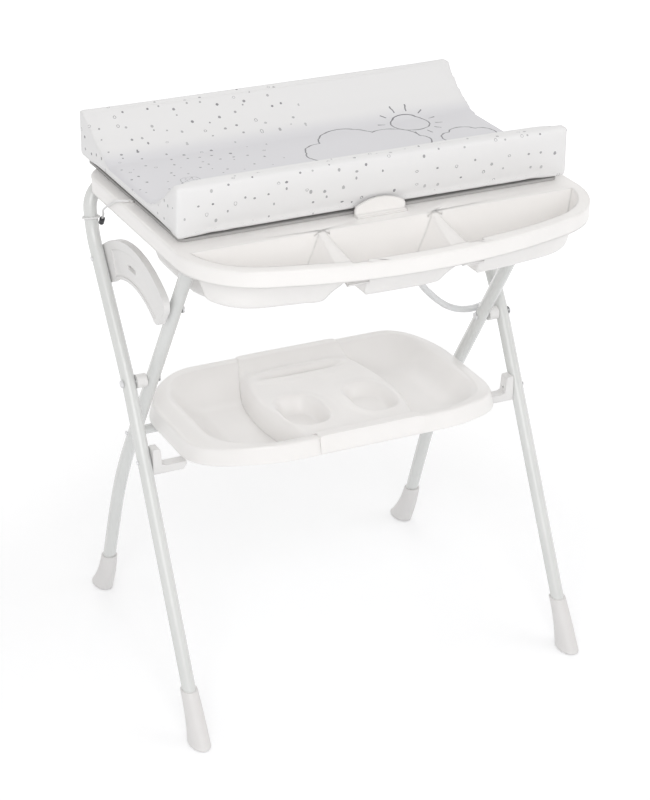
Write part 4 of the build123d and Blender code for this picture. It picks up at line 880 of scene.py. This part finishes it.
def makeShelf(finish):
    s = shelfSet
    rimOuter, rimInner, wallFoot, floorBend = shelfProfile()
    outerBend = bend((0, s["low"]), rimOuter, rimInner, s["rimRound"], 8)
    innerBend = bend(rimOuter, rimInner, wallFoot, s["mouthRound"], 6)
    spots, inwards = shelfOutline()
    drop = saddle((spots + inwards * rimOuter[0])[:, 0])
    foot = np.maximum(s["top"] - drop - s["skirt"], s["hookSeat"])
    rows = []

    def ring(inset, z):
        rows.append(np.column_stack([spots + inwards * np.reshape(inset, (-1, 1)), z]))

    start = outerBend[0][1] - drop
    for t in np.linspace(0, 1, 6)[:-1]:  # the skirt, from its foot up to the rim's bend
        z = foot + (start - foot) * t
        ring((z - s["low"]) * s["flare"], z)
    for inset, z in outerBend:
        ring(inset - drop * s["flare"], z - drop)
    last = outerBend[-1][0] - drop * s["flare"]
    for t in (0.3, 0.65):  # over the rim
        inset = last + (innerBend[0][0] - last) * t
        place = spots + inwards * inset[:, None]
        ring(inset, s["top"] - saddle(place[:, 0]))
    inner = list(innerBend)  # down the dish's wall and onto its floor
    inner += [inner[-1] + (floorBend[0] - inner[-1]) * t for t in np.linspace(0, 1, 8)[1:-1]]
    inner += list(floorBend)
    for inset, z in inner:
        place = spots + inwards * inset
        height = lesser(np.full(len(spots), z), s["top"] - saddle(place[:, 0]), s["sinkBlend"])
        ring(np.full(len(spots), inset), np.maximum(height, s["floor"]))
    centre = np.array([0, 0.5 * (s["front"] + s["back"])])
    last = rows[-1][:, :2]
    for share in (0.75, 0.5, 0.25, 0.02):
        rows.append(np.column_stack([centre + (last - centre) * share, np.full(len(spots), s["floor"])]))
    piece = makeShelfPiece("basin_shelf", np.stack(rows), True, finish, "shelf_tray", 50)
    middle = bmesh.new()  # closes the middle of the floor
    middle.from_mesh(piece.data)
    nearFloor, nearCentre = s["floor"] + 0.0001, 0.02
    hole = [
        e for e in middle.edges
        if e.is_boundary and abs(e.verts[0].co.x) < nearCentre and e.verts[0].co.z < nearFloor
    ]
    bmesh.ops.contextual_create(middle, geom=hole)
    bmesh.ops.recalc_face_normals(middle, faces=middle.faces)
    if sum(f.normal.z for f in middle.faces if f.calc_center_median().z < nearFloor) < 0:
        bmesh.ops.reverse_faces(middle, faces=middle.faces)
    middle.to_mesh(piece.data)
    middle.free()
    piece.data.shade_smooth()
    addWall(piece, s["wall"], s["edge"])


makeShelf(finishes["shelfPlastic"])

# caddy: a height field with soft wells, its wings on the shelf's rims, a flap over the front skirt,
# and its sides rolled down to the floor
caddySet = {
    "half": 0.104, "belly": 0.140, "deck": 0.496, "grid": (150, 121),
    "front": -0.163, "back": 0.204, "innerFront": -0.149, "innerBack": 0.190,
    "wing": 0.5153, "wingRun": 0.028, "footAir": 0.0007, "sideRoll": 0.018,
    "cupHalf": (0.040, 0.060), "cupPlaces": [(-0.070, -0.022, 0.028), (0.070, -0.022, 0.020)],
    "cupMargin": 0.007, "lipMargin": 0.026, "lipRise": 0.0045,
    "groove": (0.132, 0.1025, 0.018, 0.014),  # place in y, half length, half width, depth
    "surround": (0.018, 0.02, 0.004),  # what it adds to the half length and half width, and its rise
    "flapRun": 0.0055, "flapFoot": 0.484, "flapRound": 0.0045, "flapAir": 0.0034, "flapTrim": 0.0004,
    "wall": 0.0026, "edge": 0.0007,
}


def softWell(x, y, cx, cy, hx, hy, power, wallShare):
    # 1 on the well's floor, 0 outside; the well's plan is |x/hx|^p + |y/hy|^p < 1
    r = (np.abs((x - cx) / hx) ** power + np.abs((y - cy) / hy) ** power) ** (1 / power)
    return 1 - ease((r - (1 - wallShare)) / wallShare)


def makeCaddy(finish):
    c = caddySet
    ys = np.linspace(c["front"] - c["flapRun"], c["back"], c["grid"][0])
    # the sides bulge along an arc of radius (reach^2 + sagitta^2) / (2 * sagitta)
    middle = (c["innerFront"] + c["innerBack"]) / 2
    reach = (c["innerBack"] - c["innerFront"]) / 2
    sagitta = c["belly"] - c["half"]
    radius = (reach ** 2 + sagitta ** 2) / (2 * sagitta)
    side = c["belly"] - radius + np.sqrt(np.clip(radius ** 2 - (ys - middle) ** 2, 0, None))
    half = np.maximum(side, c["half"])
    s = np.linspace(-1, 1, c["grid"][1])
    x = s[None, :] * half[:, None]
    y = np.repeat(ys[:, None], len(s), axis=1)
    z = np.full_like(x, c["deck"])
    hx, hy = c["cupHalf"]
    for cx, cy, depth in c["cupPlaces"]:
        well = softWell(x, y, cx, cy, hx + c["cupMargin"], hy + c["cupMargin"], 2.6, 0.45)
        lip = softWell(x, y, cx, cy, hx + c["lipMargin"], hy + c["lipMargin"], 2.4, 0.5)
        z += lip * c["lipRise"] - well * (depth + c["lipRise"])
    gy, gl, gw, gd = c["groove"]
    moreLong, moreWide, rise = c["surround"]
    z -= softWell(x, y, 0, gy, gl, gw, 3.0, 0.5) * gd
    z += softWell(x, y, 0, gy, gl + moreLong, gw + moreWide, 3.0, 0.45) * rise
    # the wings: up from the deck over the rim's inner edge
    up = 1 - ease((y - c["innerFront"]) / c["wingRun"]) + 1 - ease((c["innerBack"] - y) / c["wingRun"])
    z += np.clip(up, 0, 1) * (c["wing"] - z)
    # the sides roll down to the shelf's floor, or to its wall near the wings, along a quarter circle
    sideFoot = dishHeight(np.minimum(y - shelfSet["front"], shelfSet["back"] - y)) + c["footAir"]
    edge = (1 - np.abs(s))[None, :] * half[:, None]
    roll = np.clip(1 - edge / c["sideRoll"], 0, 1)
    fall = 1 - np.sqrt(np.clip(1 - roll ** 2, 0, 1))
    z -= np.clip(z - sideFoot, 0, None) * fall
    # the flap: up the skirt's outside, then round onto the wing
    spread = (shelfSet["top"] - shelfSet["low"]) * shelfSet["flare"]
    skirtTop = shelfSet["front"] + spread - c["flapAir"]
    skirtFoot = skirtTop - (shelfSet["top"] - c["flapFoot"]) * shelfSet["flare"]
    foot = np.array((skirtFoot, c["flapFoot"]))
    corner = bend(foot, (skirtTop, c["wing"]), (c["back"], c["wing"]), c["flapRound"], 7)
    path = [foot + (corner[0] - foot) * t for t in (0, 0.25, 0.5, 0.75)] + corner
    path = [q for q in path if q[0] < ys[0] - c["flapTrim"]]
    flap = np.empty((len(path), len(s), 3))
    flap[:, :, 0] = s * c["half"]
    flap[:, :, 1:] = np.array(path)[:, None]
    points = np.concatenate([flap, np.stack([x, y, z], axis=2)])
    piece = makeShelfPiece("caddy_insert", points, False, finish, "shelf_caddy", 60)
    if sum(f.normal.z for f in piece.data.polygons) < 0:
        piece.data.flip_normals()
    addWall(piece, c["wall"], c["edge"])


makeCaddy(finishes["shelfPlastic"])
print("stage 6: shelf and caddy")

# drain hose and tie cord: the same route points as the plain model, in millimetres
cordSet = {
    "drain_hose_line": {
        "diameter": 0.013, "finish": "hoseClear", "slot": "hose_plastic", "body": "outer_frame",
        "node": "drain_hose", "farEnd": "fitting", "stiffness": "medium", "withPieces": ["hose_cap"],
        "points": [
            (180, 20, 738), (180, 20, 721.5), (183.4, 21.3, 704.4), (190.4, 24, 688.6),
            (202.5, 28.6, 671.5), (221, 36, 652), (243, 43, 631), (269, 50, 611), (299, 58, 597),
            (330, 66, 590), (361, 75, 590), (386, 83, 596),
        ],
    },
    "tie_cord_line": {
        "diameter": 0.004, "finish": "cordWeave", "slot": "cord_fabric", "body": "outer_frame",
        "node": "tie_cord", "farEnd": "tool", "stiffness": "limp",
        "withPieces": ["tie_toggle", "tie_loop"],
        "points": [
            (-370, 45, 927.4), (-379, 47, 928.6), (-386.5, 53, 928), (-390.5, 64, 923),
            (-391, 80, 913.5), (-389.5, 103, 900), (-385.5, 128, 886.5), (-379, 153, 873),
            (-371, 174, 862), (-364, 190, 853), (-361, 200, 846), (-361, 204.5, 838.5),
        ],
    },
}


def makeCords():
    for name, c in cordSet.items():
        line = bpy.data.curves.new(name, "CURVE")
        line.dimensions = "3D"
        line.bevel_depth = c["diameter"] / 2
        line.bevel_resolution = 6
        line.resolution_u = 8
        line.use_fill_caps = True
        spline = line.splines.new("NURBS")
        spline.points.add(len(c["points"]) - 1)
        for point, (px, py, pz) in zip(spline.points, c["points"]):
            point.co = (px / 1000, py / 1000, pz / 1000, 1)
        spline.order_u = 3
        spline.use_endpoint_u = True
        line.materials.append(finishes[c["finish"]])
        cord = bpy.data.objects.new(name, line)
        bpy.context.collection.objects.link(cord)
        bpy.context.view_layer.update()
        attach(cord, c["body"])
        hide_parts(c["node"])
        [v / 1000 for v in c["points"][0]]


makeCords()
print("stage 7: hose and tie cord")
